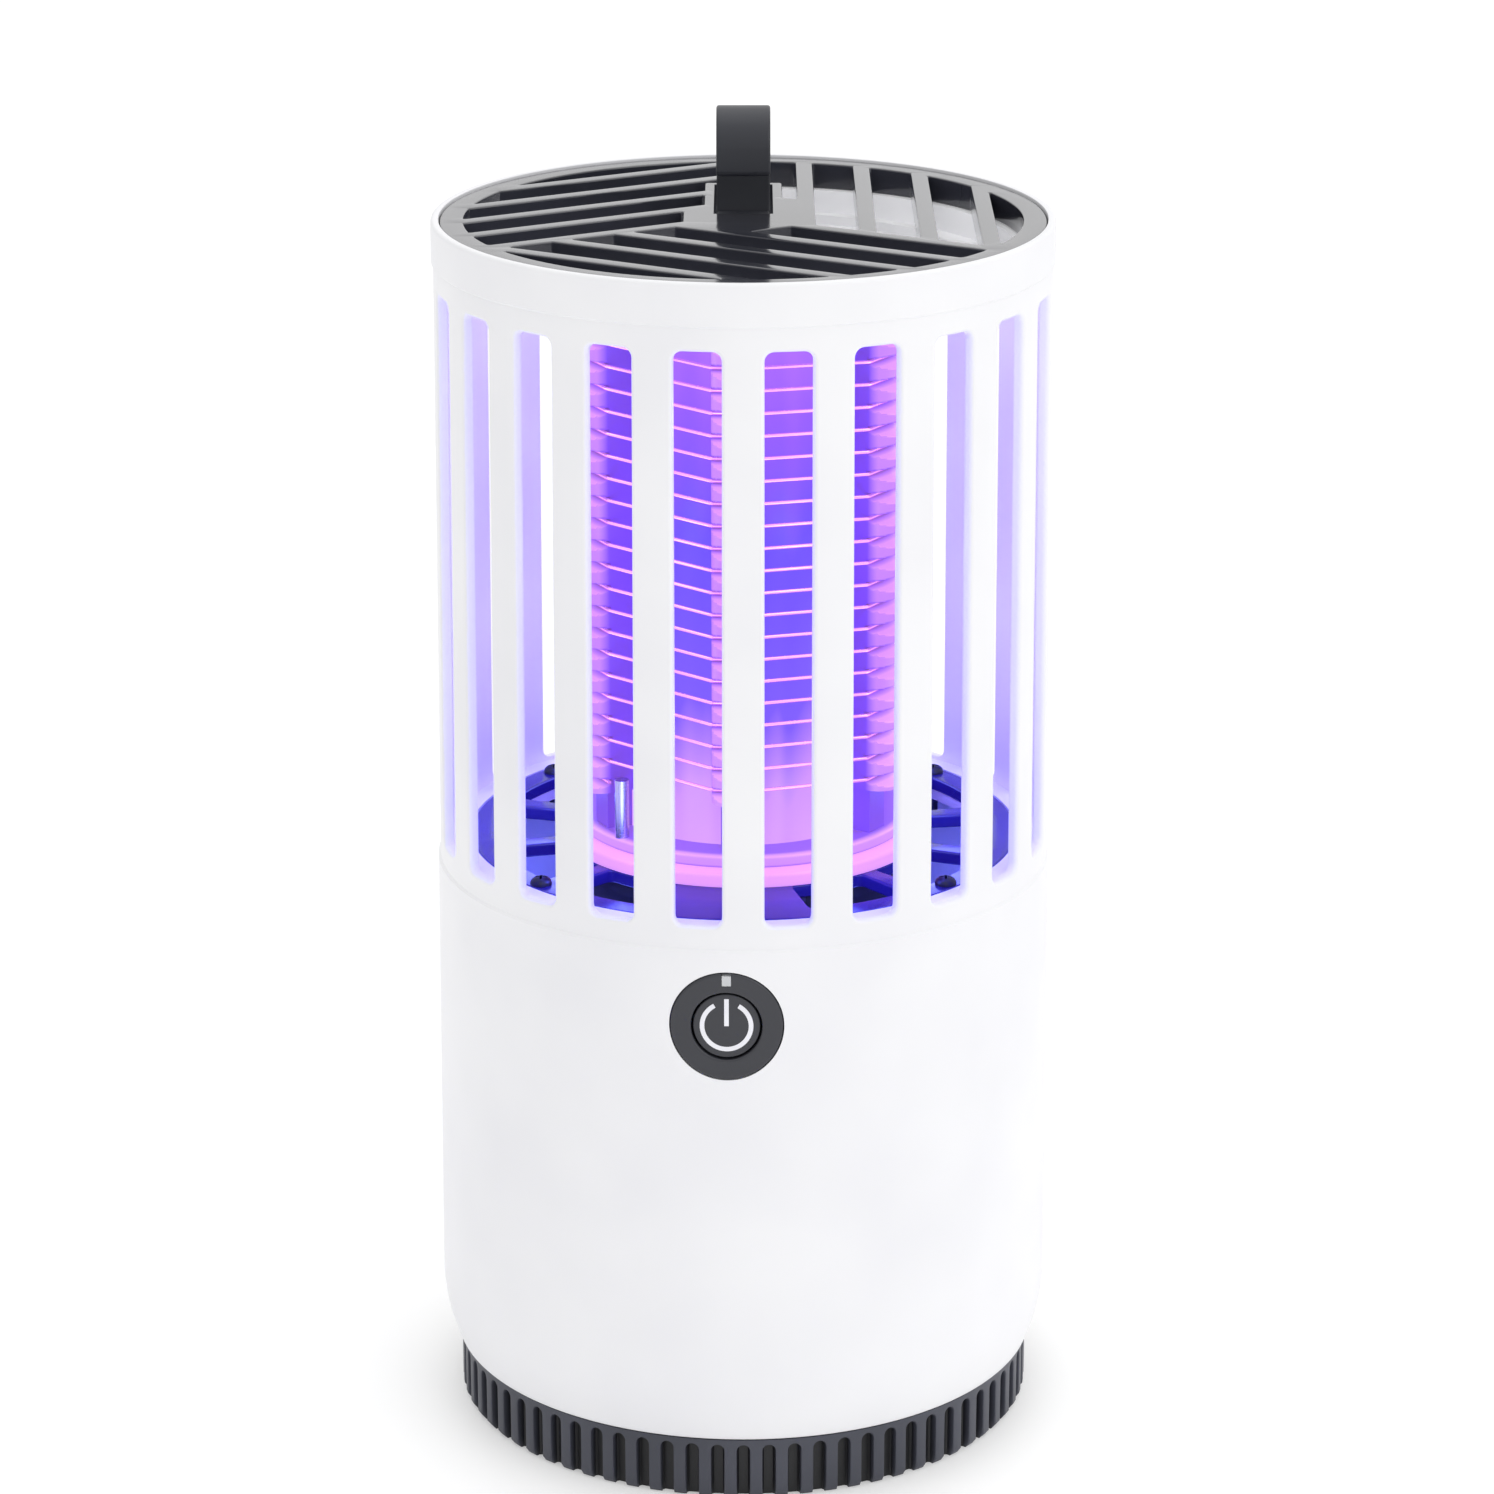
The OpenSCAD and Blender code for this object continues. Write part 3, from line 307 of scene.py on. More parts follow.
# %% The lit finishes
foot_z, top_z = deck_high.z, window_top
tube_glow = lit("frosted_polycarbonate_lit", "#35208c", [
    (foot_z, "#eeb0f6"), (foot_z + 13, "#dc9cf8"), (foot_z + 27, "#7c5af4"), (foot_z + 55, "#6a4cf2"),
    (foot_z + 76, "#9a5cfa"), (top_z, "#c074ff")], 0.85, streak=0.22)
# The comb's violet colour and glow are painted light from the tube, with painted shade on undersides and in
# the notches.
comb_painted_glow = lit("comb_nylon_lit", "#6a38b0", [
    (foot_z, "#e8a8fa"), (foot_z + 40, "#d892fc"), (top_z, "#dc98ff")], 1.0, streak=0.1, shade=0.85,
    groove_shade_at=26.6)
# The disc's pink colour and glow are painted light from the tube.
disc_painted_glow = lit("disc_nylon_lit", "#a860c8", [(foot_z, "#eaa6f4"), (foot_z + 2.5, "#eaa6f4")], 0.8)
diode_glow = lit("violet_diode_lit", "#8f6bff", [(foot_z, "#6a3cff"), (foot_z + 6, "#8f6bff")], 4.0)
print("glowing:", tube_glow.name, comb_painted_glow.name, disc_painted_glow.name)

# %% [markdown]
# Metals keep the shader's own index of refraction and get their look from colour, roughness and the marks of
# how they were made. Screws are zinc plated and slightly dull, the grid is bright drawn wire whose pink
# colour and glow are painted light from the tube.

# %% Metals
def drawn_metal(name, colour, roughness, grain, squash, **constant):
    """Metal with fine marks of that grain in mm, drawn out along one axis by squash."""
    material, tree, shader = start_finish(name, colour, roughness, Metallic=1.0, **constant)
    place = add_node(tree, "ShaderNodeTexCoord").outputs["Object"]
    along = add_node(tree, "ShaderNodeMapping", {"Vector": place, "Scale": squash})
    marks = add_node(tree, "ShaderNodeTexNoise", {"Vector": along, "Scale": 1 / (grain * MM)})
    worn = add_node(tree, "ShaderNodeMapRange", {"Value": marks, "To Min": roughness * 0.7,
                                                 "To Max": roughness * 1.3})
    bump = add_node(tree, "ShaderNodeBump", {"Height": marks, "Strength": 0.3,
                                             "Distance": 0.004 * MM})
    tree.links.new(worn.outputs[0], shader.inputs["Roughness"])
    tree.links.new(bump.outputs[0], shader.inputs["Normal"])
    return material


zinc = drawn_metal("zinc_plated_steel", "#b9bcc2", 0.3, 0.4, (1, 1, 1))
pin_steel = drawn_metal("ground_steel_pin", "#c8cacf", 0.25, 0.3, (0.05, 1, 1))
# The wire's pink colour and glow are painted light from the tube.
grid_wire_painted_glow = drawn_metal("drawn_stainless_wire", "#f0b4e4", 0.25, 0.5, (1, 1, 0.2),
                         Emission_Color=linear("#f49cec"), Emission_Strength=0.42)
black_zinc = drawn_metal("black_zinc_steel", "#3a3c4c", 0.35, 0.4, (1, 1, 1))
nickel = drawn_metal("nickel_plated_shell", "#c4c6cb", 0.22, 0.5, (1, 0.1, 1))
print("metals:", zinc.name, black_zinc.name, pin_steel.name, grid_wire_painted_glow.name, nickel.name)

# %% [markdown]
# The last finishes are small: printed circuit boards, a film capacitor, rubber, and the clear light pipe.

# %% Boards, rubber and clear plastic
board_green = moulded("solder_mask_green", "#1f6b45", "#195a3a", 0.3, grain=0.8, height=0.01, flow=6.0)
board_white = moulded("solder_mask_white", "#f1f1ee", "#e6e6e2", 0.35, grain=0.8, height=0.01, flow=6.0)
black_epoxy = moulded("moulded_epoxy_black", "#24262b", "#1c1e22", 0.5, grain=0.25, height=0.01, flow=5.0)
winding = moulded("enamelled_winding", "#9a6a2c", "#5c3f20", 0.35, grain=0.3, height=0.05, flow=3.0)
dipped_film = moulded("dipped_film_capacitor", "#b5452c", "#a03a24", 0.25, grain=2.0, height=0.02, flow=8.0)
cell_wrap = moulded("cell_wrap_green", "#4f8f6a", "#437d5c", 0.22, grain=3.0, height=0.01, flow=12.0)
lead_pvc = moulded("lead_PVC", "#b03042", "#962838", 0.4, grain=0.5, height=0.01, flow=9.0)
grey_rubber = moulded("grey_silicone_rubber", "#4d4f58", "#44464f", 0.62, grain=0.3, height=0.012)
black_rubber = moulded("black_rubber_pad", "#1e1f23", "#18191c", 0.7, grain=0.4, height=0.02)
symbol_ink = moulded("white_inlay", "#ececf2", "#e6e6ec", 0.3, grain=0.5, height=0.002, flow=3.0)
clear_acrylic = moulded("clear_acrylic_light_pipe", "#f4f6f8", "#e8ebee", 0.15, grain=1.0, height=0.002,
                        flow=2.0, Transmission_Weight=0.35)
print(len(bpy.data.materials), "finishes in all")

# %% [markdown]
# Three helpers make most of the meshes. `lathe` turns an outline about the drum's axis, `plate` cuts a flat
# piece from outlines and rounds its edges, and `rounded` eases the corners of any outline. Flat faces beside
# a rounded edge only look flat if they own the normals, which the weighted-normal modifier does.

# %% Helpers for meshes
def mesh_object(name, points, faces):
    """A mesh object from points in millimetres, with doubles merged and its faces pointing outwards."""
    mesh = bpy.data.meshes.new(name)
    mesh.from_pydata([Vector(p) * MM for p in points], [], faces)
    piece = bpy.data.objects.new(name, mesh)
    scene.collection.objects.link(piece)
    weld(piece)
    return piece


def weld(piece, gap=0.002):
    """Merges points closer than gap mm, drops flattened faces and turns all faces outwards."""
    shape = bmesh.new()
    shape.from_mesh(piece.data)
    bmesh.ops.remove_doubles(shape, verts=shape.verts, dist=gap * MM)
    bmesh.ops.dissolve_degenerate(shape, edges=shape.edges, dist=gap * MM / 4)
    bmesh.ops.recalc_face_normals(shape, faces=shape.faces)
    shape.to_mesh(piece.data)
    shape.free()


def strips(rows, wide, first=0, ring=False, loop=False):
    """Faces that join rows of points, each wide points long, counted from point first.

    With ring each row meets its own start, and with loop the last row meets the first one.
    """
    def at(i, j):
        return first + i % rows * wide + j % wide

    return [(at(i, j), at(i, j + 1), at(i + 1, j + 1), at(i + 1, j))
            for i in range(rows if loop else rows - 1) for j in range(wide if ring else wide - 1)]


def rounded(outline, radius, steps=3):
    """The closed outline with each corner eased; a third number at a corner is its own radius."""
    result = []
    for i, corner in enumerate(outline):
        here = Vector(corner[:2])
        before = Vector(outline[i - 1][:2]) - here
        after = Vector(outline[(i + 1) % len(outline)][:2]) - here
        own = corner[2] if len(corner) > 2 else radius
        half = before.angle(after) / 2
        reach = min(own / max(math.tan(half), 1e-3), before.length * 0.48, after.length * 0.48)
        if own <= 0 or half > math.radians(84):
            result.append(here)
            continue
        start, end = here + before.normalized() * reach, here + after.normalized() * reach
        for t in (k / steps for k in range(steps + 1)):
            result.append(start * (1 - t) ** 2 + here * (2 * t * (1 - t)) + end * t**2)
    return result


def circle(radius, steps=180, centre=(0, 0)):
    """A closed ring of points."""
    return [Vector((centre[0] + radius * math.cos(2 * math.pi * k / steps),
                    centre[1] + radius * math.sin(2 * math.pi * k / steps))) for k in range(steps)]


def lathe(name, outline, steps=144):
    """Turns a closed outline of (radius, height) about the drum's axis."""
    points = [turned(max(r, 0), 360 * i / steps, z) for i in range(steps) for r, z in outline]
    wide = len(outline)
    faces = [face for face in strips(steps, wide, ring=True, loop=True)
             if max(outline[face[0] % wide][0], outline[face[1] % wide][0]) > 1e-6]
    return mesh_object(name, points, faces)


print("two rows of three points:", len(strips(2, 3)), "faces, closed rows:", len(strips(2, 3, ring=True)))

# %% [markdown]
# Flat pieces come from Blender's own filled curves, which can round their edges. The helpers after it turn an
# evaluated shape into a plain mesh, join pieces, and cut one with another.

# %% Helpers for plates and cuts
def plate(name, outlines, low, high, edge, place=None):
    """A flat piece cut to outlines, from low to high, with its edges rounded by edge; place moves it."""
    curve = bpy.data.curves.new(name, "CURVE")
    curve.dimensions = "2D"
    curve.fill_mode = "BOTH"
    curve.extrude = ((high - low) / 2 - edge) * MM
    curve.bevel_depth = edge * MM
    curve.bevel_resolution = 1
    curve.offset = -edge * MM
    for outline in outlines:
        spline = curve.splines.new("POLY")
        spline.points.add(len(outline) - 1)
        spline.points.foreach_set("co", [c for x, y in outline for c in (x * MM, y * MM, 0, 1)])
        spline.use_cyclic_u = True
    holder = bpy.data.objects.new(name, curve)
    scene.collection.objects.link(holder)
    piece = as_mesh(holder, name)
    piece.data.transform(Matrix.Translation((0, 0, (low + high) / 2 * MM)))
    if place is not None:
        piece.data.transform(place)
    weld(piece)
    return piece


def as_mesh(holder, name):
    """The evaluated shape of holder as a plain mesh object; holder is removed."""
    bpy.context.view_layer.update()
    graph = bpy.context.evaluated_depsgraph_get()
    mesh = bpy.data.meshes.new_from_object(holder.evaluated_get(graph), depsgraph=graph)
    bpy.data.objects.remove(holder)
    mesh.name = name
    piece = bpy.data.objects.new(name, mesh)
    scene.collection.objects.link(piece)
    return piece


def join(name, *pieces):
    """Several mesh objects as one."""
    shape = bmesh.new()
    for piece in pieces:
        shape.from_mesh(piece.data)
    mesh = bpy.data.meshes.new(name)
    shape.to_mesh(mesh)
    shape.free()
    for piece in pieces:
        bpy.data.objects.remove(piece)
    whole = bpy.data.objects.new(name, mesh)
    scene.collection.objects.link(whole)
    return whole


def combine(piece, other, operation):
    """An exact boolean of piece with other, which is used up."""
    modifier = piece.modifiers.new("cut", "BOOLEAN")
    modifier.operation = operation
    modifier.solver = "EXACT"
    modifier.object = other
    name = piece.name
    result = as_mesh(piece, name)
    bpy.data.objects.remove(other)
    return result

# %% [markdown]
# Every finished piece goes through `dress`: it shades the piece, gives it its finish, tells which moving body
# it rides on, and which CAD pieces it stands for.

# %% Dress a finished piece
def dress(piece, body, slot, finish, *nodes, sharp=48):
    """Shades the piece, gives it its finish and body, and lets it stand for CAD nodes."""
    piece.data.materials.clear()
    piece.data.materials.append(finish)
    piece.data.shade_smooth()
    piece.data.set_sharp_from_angle(angle=math.radians(sharp))
    flat = piece.modifiers.new("flat_faces_own_normals", "WEIGHTED_NORMAL")
    flat.keep_sharp = True
    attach(piece, body)
    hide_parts(*nodes)
    print(f"{piece.name}: {len(piece.data.polygons)} faces in {finish.name}")
    return piece

# %% [markdown]
# Much of the zapper is one shape repeated round the axis: windows, ribs, teeth, screws. One small Geometry
# Nodes tree does all of it. It takes a piece, a number of copies, the turn and the rise from copy to copy,
# then makes the copies real, welds what touches, and sets the finish.

# %% A tree that copies a piece round the axis
def new_tree(name, inputs):
    """A Geometry Nodes tree with named inputs, and the sockets that carry them."""
    tree = bpy.data.node_groups.new(name, "GeometryNodeTree")
    for label, kind in inputs.items():
        tree.interface.new_socket(label, in_out="INPUT", socket_type="NodeSocket" + kind)
    tree.interface.new_socket("Geometry", in_out="OUTPUT", socket_type="NodeSocketGeometry")
    return tree, add_node(tree, "NodeGroupInput").outputs


copies_tree, given = new_tree("copies_round_the_axis", {
    "Piece": "Object", "Copies": "Int", "First turn": "Float", "Turn": "Float", "Rise": "Float",
    "Weld": "Float", "Finish": "Material"})
number = add_node(copies_tree, "GeometryNodeInputIndex").outputs[0]
rise = add_node(copies_tree, "ShaderNodeMath", {0: number, 1: given["Rise"]}, operation="MULTIPLY")
turn = add_node(copies_tree, "ShaderNodeMath", {0: number, 1: given["Turn"], 2: given["First turn"]},
                operation="MULTIPLY_ADD")
spot = add_node(copies_tree, "ShaderNodeCombineXYZ", {"Z": rise})
spin = add_node(copies_tree, "ShaderNodeCombineXYZ", {"Z": turn})
spots = add_node(copies_tree, "GeometryNodePoints", {"Count": given["Copies"], "Position": spot})
model = add_node(copies_tree, "GeometryNodeObjectInfo", {"Object": given["Piece"]})
copies = add_node(copies_tree, "GeometryNodeInstanceOnPoints", {
    "Points": spots, "Instance": model.outputs["Geometry"], "Rotation": spin})
real = add_node(copies_tree, "GeometryNodeRealizeInstances", {0: copies})
welded = add_node(copies_tree, "GeometryNodeMergeByDistance", {"Geometry": real,
                                                               "Distance": given["Weld"]})
finished = add_node(copies_tree, "GeometryNodeSetMaterial", {"Geometry": welded,
                                                             "Material": given["Finish"]})
add_node(copies_tree, "NodeGroupOutput", {0: finished})


print(copies_tree.name, "has", len(copies_tree.nodes), "nodes")

# %% [markdown]
# A tree does its work inside a modifier. `grow` sets the inputs by their names, lets Blender evaluate the
# modifier once, and keeps only the plain mesh.

# %% Run a tree
def grow(name, tree, values):
    """Runs a tree with its named inputs set, and keeps what it grows as a plain mesh object."""
    holder = bpy.data.objects.new(name, bpy.data.meshes.new(name))
    scene.collection.objects.link(holder)
    modifier = holder.modifiers.new("grow", "NODES")
    modifier.node_group = tree
    for item in tree.interface.items_tree:
        if item.in_out == "INPUT" and item.name in values:
            modifier[item.identifier] = values[item.name]
    return as_mesh(holder, name)


def copied(name, piece, copies, finish, first=0.0, turn=None, rise=0.0, weld_gap=0.002):
    """Copies of piece round the axis, evenly unless a turn in degrees is given; piece is used up."""
    step = 360 / copies if turn is None else turn
    whole = grow(name, copies_tree, {
        "Piece": piece, "Copies": copies, "First turn": math.radians(first), "Turn": math.radians(step),
        "Rise": rise * MM, "Weld": weld_gap * MM, "Finish": finish})
    bpy.data.objects.remove(piece)
    return whole


print("inputs:", ", ".join(item.name for item in copies_tree.interface.items_tree if item.in_out == "INPUT"))

# %% [markdown]
# ## The drum
# The drum follows a rule: twenty-two equal sectors, each with one upright window. So one sector is built with
# care, and the tree copies it round. Each window's edge is a ring of points. Every ring point is joined to a
# point on the sector's border, and rings stepped inwards and backwards round the edge over, as a mould does.

# %% One sector of the drum
half_turn = 180 / window_count
corner_r = 1.5
corner_steps = 6
edge_turn = math.degrees(math.asin((window_w / 2 - corner_r) / body_r))


def window_ring(border_low, border_high):
    """Points round a window: (x, z, normal x, normal z, turn on the border, height on the border)."""
    side, top, low = window_w / 2 - corner_r, window_top - corner_r, window_z + corner_r
    quarter = []
    for k in range(corner_steps + 1):
        a = math.radians(90 * k / corner_steps)
        share = k / (corner_steps / 2)
        if share <= 1:
            border = (half_turn, share)
        else:
            border = (half_turn + (edge_turn - half_turn) * (share - 1), 1)
        quarter.append((corner_r * math.cos(a), corner_r * math.sin(a), math.cos(a), math.sin(a), *border))
    ring = []
    for sx, sz in ((1, 1), (-1, 1), (-1, -1), (1, -1)):
        mid = top if sz > 0 else low
        limit = border_high if sz > 0 else border_low
        arc = [(sx * (side + x), mid + sz * z, sx * nx, sz * nz, sx * turn, mid + (limit - mid) * share)
               for x, z, nx, nz, turn, share in quarter]
        ring += arc if sx * sz > 0 else arc[::-1]
        if sx == sz:
            ring += [(sx * side * t, mid + sz * corner_r, 0, sz, sx * edge_turn * t, limit)
                     for t in (1 / 3, -1 / 3)]
        else:
            ring += [(sx * (side + corner_r), mid + (top + low - 2 * mid) * t, sx, 0, sx * half_turn,
                      mid + (top + low - 2 * mid) * t) for t in (0.25, 0.5, 0.75)]
    return ring


band_low, band_high, band_step, lead = window_z - 4.2, window_top + 4.2, 0.35, 0.4
outer_ring = window_ring(band_low + lead, band_high - lead)
inner_ring = window_ring(deck_high.z + 0.12, window_top + 1.4)
outside_round, inside_round = 0.75, 0.3


def ring_at(ring, offset, depth):
    """The window's ring moved out by offset along the surface and back by depth."""
    points = []
    for x, z, nx, nz, _, _ in ring:
        px, pz = x + nx * offset, z + nz * offset
        r = outer_r(pz) - band_step - depth
        points.append(Vector((px, -math.sqrt(r * r - px * px), pz)))
    return points


def border_at(ring, depth):
    """The sector's border points for a ring."""
    return [turned(outer_r(z) - band_step - depth, turn, z) for _, _, _, _, turn, z in ring]


full_depth = wall - band_step
rings = [border_at(outer_ring, 0)]
rings += [ring_at(outer_ring, outside_round * (1 - math.sin(a)), outside_round * (1 - math.cos(a)))
          for a in (math.radians(30 * k) for k in range(4))]
rings += [ring_at(inner_ring, inside_round * (1 - math.cos(a)), full_depth - inside_round * (1 - math.sin(a)))
          for a in (math.radians(45 * k) for k in range(3))]
rings += [border_at(inner_ring, full_depth)]
ring_size = len(outer_ring)
sector_points = [p for ring in rings for p in ring]
sector_faces = strips(len(rings), ring_size, ring=True)
print(f"{len(rings)} rings of {ring_size} points round each window")

# %% [markdown]
# Above and below the windows the sector goes on as plain strips that follow the drum's cross-section: up over
# the rim and down the seat of the grille, and down the wall, round the tuck-in and up the inside to the deck.

# %% Close the sector and copy it round the drum
seat_r = grille_r + 0.15
seat_z = grille_low.z - 1.2
ledge_r = seat_r - 3
deck_r = deck_high.x
in_seat = outer_r(seat_z) - wall
columns = sorted({round(p[4], 6) for p in outer_ring if p[5] == band_high - lead})


def inner_r(z):
    """Inner radius of the drum's wall."""
    return outer_r(z) - wall


top_path = [(outer_r(band_high - lead) - band_step, band_high - lead), (outer_r(band_high), band_high),
            (outer_r(rim_z - 0.6), rim_z - 0.6), (outer_r(rim_z) - 0.12, rim_z - 0.22),
            (outer_r(rim_z) - 0.38, rim_z - 0.03), (outer_r(rim_z) - 0.6, rim_z),
            (seat_r + 0.25, rim_z), (seat_r + 0.07, rim_z - 0.07), (seat_r, rim_z - 0.25),
            (seat_r, seat_z), (ledge_r, seat_z), (ledge_r, seat_z - 1.2),
            (in_seat, seat_z - 1.2 - in_seat + ledge_r), (inner_r(window_top + 1.4), window_top + 1.4)]
tuck_path = [(outer_r(z), z) for z in (belt_z - 12 * k / 10 for k in range(10))]
low_path = [(outer_r(band_low + lead) - band_step, band_low + lead), (outer_r(band_low), band_low),
            (outer_r(60), 60), *tuck_path, (outer_r(skirt_z + 0.35), skirt_z + 0.35),
            (outer_r(skirt_z) - 0.12, skirt_z + 0.08), (outer_r(skirt_z) - 0.4, skirt_z),
            (inner_r(skirt_z) + 0.5, skirt_z), (inner_r(belt_z), belt_z),
            (inner_r(deck_low.z - 1.8), deck_low.z - 1.8), (deck_r - 4, deck_low.z - 1.8),
            (deck_r - 4, deck_low.z), (deck_r + 0.15, deck_low.z), (deck_r + 0.15, deck_high.z),
            (inner_r(deck_high.z), deck_high.z), (inner_r(deck_high.z + 0.12), deck_high.z + 0.12)]
for path in (top_path, low_path):
    first, wide = len(sector_points), len(columns)
    sector_points += [turned(r, turn, z) for r, z in path for turn in columns]
    sector_faces += strips(len(path), wide, first)
sector = mesh_object("drum_sector", sector_points, sector_faces)
drum = copied("drum", sector, window_count, white_abs, first=half_turn, weld_gap=0.004)
weld(drum, 0.004)
edges = bmesh.new()
edges.from_mesh(drum.data)
print(f"drum: {len(drum.data.polygons)} faces, open edges: {sum(not e.is_manifold for e in edges.edges)}")
edges.free()

# %% [markdown]
# The drum still needs the hole for the button at the front, and at the back the pocket for the rubber flap,
# the slot for the charging plug and a scoop for a fingertip. Those are exact booleans on the closed drum.

# %% Cut the button's hole and the flap's pocket
face_r = outer_r(button_z)
bezel_d = box_mm("button_bezel")[1].z - box_mm("button_bezel")[0].z - 3.2
flap_low, flap_high = box_mm("inlet_flap")
flap_w, flap_h = 17.0, 13.0
pocket_r = face_r - 1.9
flap_bottom = flap_low.z
rear_turn = yaw + 180


def outwards(matrix_turn, radius):
    """A matrix that stands a flat piece upright, facing outwards at that turn and radius."""
    return spun(matrix_turn) @ Matrix.Translation((0, -radius * MM, 0)) @ Matrix.Rotation(math.pi / 2, 4, "X")


def rectangle(width, low, high, corner, steps=5):
    """A rounded rectangle about the middle line."""
    half = width / 2
    return rounded([(-half, low), (half, low), (half, high), (-half, high)], corner, steps)


button_hole = plate("button_hole", [circle(bezel_d / 2 + 0.15, 96, (0, button_z))], -8, 4, 0.1,
                    outwards(yaw, face_r))
drum = combine(drum, button_hole, "DIFFERENCE")
pad = plate("pad", [rectangle(flap_w + 4, flap_bottom - 2, flap_bottom + flap_h + 2, 1.5)],
            -4.3, -1.3, 0.2, outwards(rear_turn, face_r))
drum = combine(drum, pad, "UNION")
pocket = plate("pocket", [rectangle(flap_w + 0.7, flap_bottom - 0.35, flap_bottom + flap_h + 0.5, 0.8)],
               pocket_r - face_r, 3, 0.05, outwards(rear_turn, face_r))
drum = combine(drum, pocket, "DIFFERENCE")
plug_slot = plate("plug_slot", [rectangle(10.4, button_z - 2.35, button_z + 2.35, 2.3, 8)], -6, 1, 0.05,
                  outwards(rear_turn, face_r))
drum = combine(drum, plug_slot, "DIFFERENCE")
scoop_centre = turned(face_r + 2.2, rear_turn, flap_bottom - 1.4)
scoop_r = 3.4
scoop = lathe("scoop", [(scoop_r * math.sin(math.pi * k / 24), scoop_r * math.cos(math.pi * k / 24))
                        for k in range(25)], 48)
scoop.data.transform(Matrix.Translation(scoop_centre * MM))
drum = combine(drum, scoop, "DIFFERENCE")
print(f"button hole {bezel_d + 0.3:.1f} mm across, pocket {flap_w + 0.7:.1f} mm wide")

# %% [markdown]
# The tray is held by a bayonet, as on a jar: three catches inside the skirt, and three lugs on the ring that
# slide over them. A catch is one flat arc with eased edges, and the tree sets it three times round.

# %% Catches of the tray's bayonet, and the finished drum
catch_low, catch_high, catch_deg, catch_edge = 12.5, 15.0, 36, 0.25
neck_inset = 4.3
neck_r = ring_high.x - neck_inset


def arc_piece(name, r1, r2, low, high, degrees, edge):
    """A flat arc about the axis, centred on the front, with rounded edges."""
    turns = [-degrees / 2 + degrees * k / 12 for k in range(13)]
    outline = [turned(r2, t).xy for t in turns] + [turned(r1, t).xy for t in reversed(turns)]
    return plate(name, [outline], low, high, edge)


catch = arc_piece("catch", neck_r + 0.4, inner_r(14) + 0.8, catch_low, catch_high, catch_deg,
                  catch_edge)
catches = copied("catches", catch, 3, white_abs, first=60)
drum = join("drum", drum, catches)
dress(drum, "body", "white_abs", white_abs, "housing", sharp=40)

# %% [markdown]
# ## The top grille
# Three fields of straight slots turn round the hub like a pinwheel, and each slot ends where the next field
# begins. Every slot has its own length, so the fields are laid over each other as flat shapes: the plane is
# cut into triangles, and a triangle is kept where the grille is solid. The border of what is kept is then cut
# as a plate with rounded edges, which gives each slat the soft shoulders of a moulding.

# %% Lay out the grille's slots
slot_w, slat_w, hub_gap = 6.9, 2.9, 2.9 * 0.7
open_r = grille_r - 3.9
hook_low, hook_high = box_mm("hook")
hook_w = hook_high.x - hook_low.x
hinge = next(j for j in frame["joints"] if j["name"] == "hook_fold")["pos_m"]
pivot_y, pivot_z = hinge[1] / MM, hinge[2] / MM
groove_x = hook_w / 2 + 0.5
spine_x = groove_x + 1.6
groove_front = pivot_y - 2.5
groove_back = pivot_y + hook_high.z - pivot_z + 1.2
far = 2 * grille_r


def clipped(polygon, inside):
    """The part of a convex polygon where the function inside is positive."""
    result = []
    for i, here in enumerate(polygon):
        last = polygon[i - 1]
        a, b = inside(last), inside(here)
        if a * b < 0:
            result.append(last.lerp(here, a / (a - b)))
        if b >= 0:
            result.append(here)
    return result


def slot_field(field_turn, hub_cut):
    """The five slots of one field, each cut off where the next field begins."""
    border = Vector((math.cos(math.radians(-120)), math.sin(math.radians(-120))))
    slots = []
    for i in range(5):
        x = hub_gap + i * (slot_w + slat_w)
        strip = [Vector(p) for p in ((x, -far), (x + slot_w, -far), (x + slot_w, far), (x, far))]
        limit = -slat_w + hub_gap - (hub_cut if i == 0 else 0)
        strip = clipped(strip, lambda p: limit - p.dot(border))
        slots.append([Matrix.Rotation(math.radians(field_turn), 2) @ p for p in strip])
    return slots


slots = [slot for field_turn, cut in ((120, 9), (0, 16), (240, 9)) for slot in slot_field(field_turn, cut)]
spine = [Vector(p) for p in ((-spine_x, groove_front - 4), (spine_x, groove_front - 4),
                             (spine_x, groove_back + 1.6), (-spine_x, groove_back + 1.6))]
shapes = [circle(grille_r), circle(open_r), spine, *slots]
corners = [p for shape in shapes for p in shape]
numbers, first = [], 0
for shape in shapes:
    numbers.append(list(range(first, first + len(shape))))
    first += len(shape)
cells = delaunay_2d_cdt(corners, [], numbers, 1, 1e-5, True)


def solid(owners):
    """True for a cell of the grille that is plastic and not a slot."""
    return 0 in owners and not (1 in owners and 2 not in owners and any(k > 2 for k in owners))


kept = [face for face, owners in zip(cells[2], cells[5]) if solid(owners)]
sides = {}
for face in kept:
    for a, b in zip(face, face[1:] + face[:1]):
        sides[(a, b)] = True
follow = {a: b for a, b in sides if (b, a) not in sides}
print(f"{len(slots)} slots, {len(kept)} solid cells, {len(follow)} border edges")

# %% [markdown]
# The kept border edges are followed from point to point until each loop closes. Slivers too small to mould
# are dropped. Then two blocks cut the groove in which the hook lies and the bay in which it turns on its pin.

# %% Cut the grille, its hook groove and the seats of the pin
outlines = []
while follow:
    loop = [next(iter(follow))]
    while loop[0] != follow[loop[-1]]:
        loop.append(follow.pop(loop[-1]))
    follow.pop(loop[-1])
    flat_loop = [cells[0][k] for k in loop]
    area = sum(a.x * b.y - b.x * a.y for a, b in zip(flat_loop, flat_loop[1:] + flat_loop[:1])) / 2
    if abs(area) > 1.5:
        outlines.append(rounded(flat_loop, 0.55))
grille = plate("top_grille_plate", outlines, grille_low.z, grille_high.z, 0.35)


def block(name, width, y1, y2, z1, z2, edge=0.05):
    """An upright block about the middle plane, from y1 to y2 and z1 to z2."""
    return plate(name, [[(-width / 2, y1), (width / 2, y1), (width / 2, y2), (-width / 2, y2)]], z1, z2, edge)


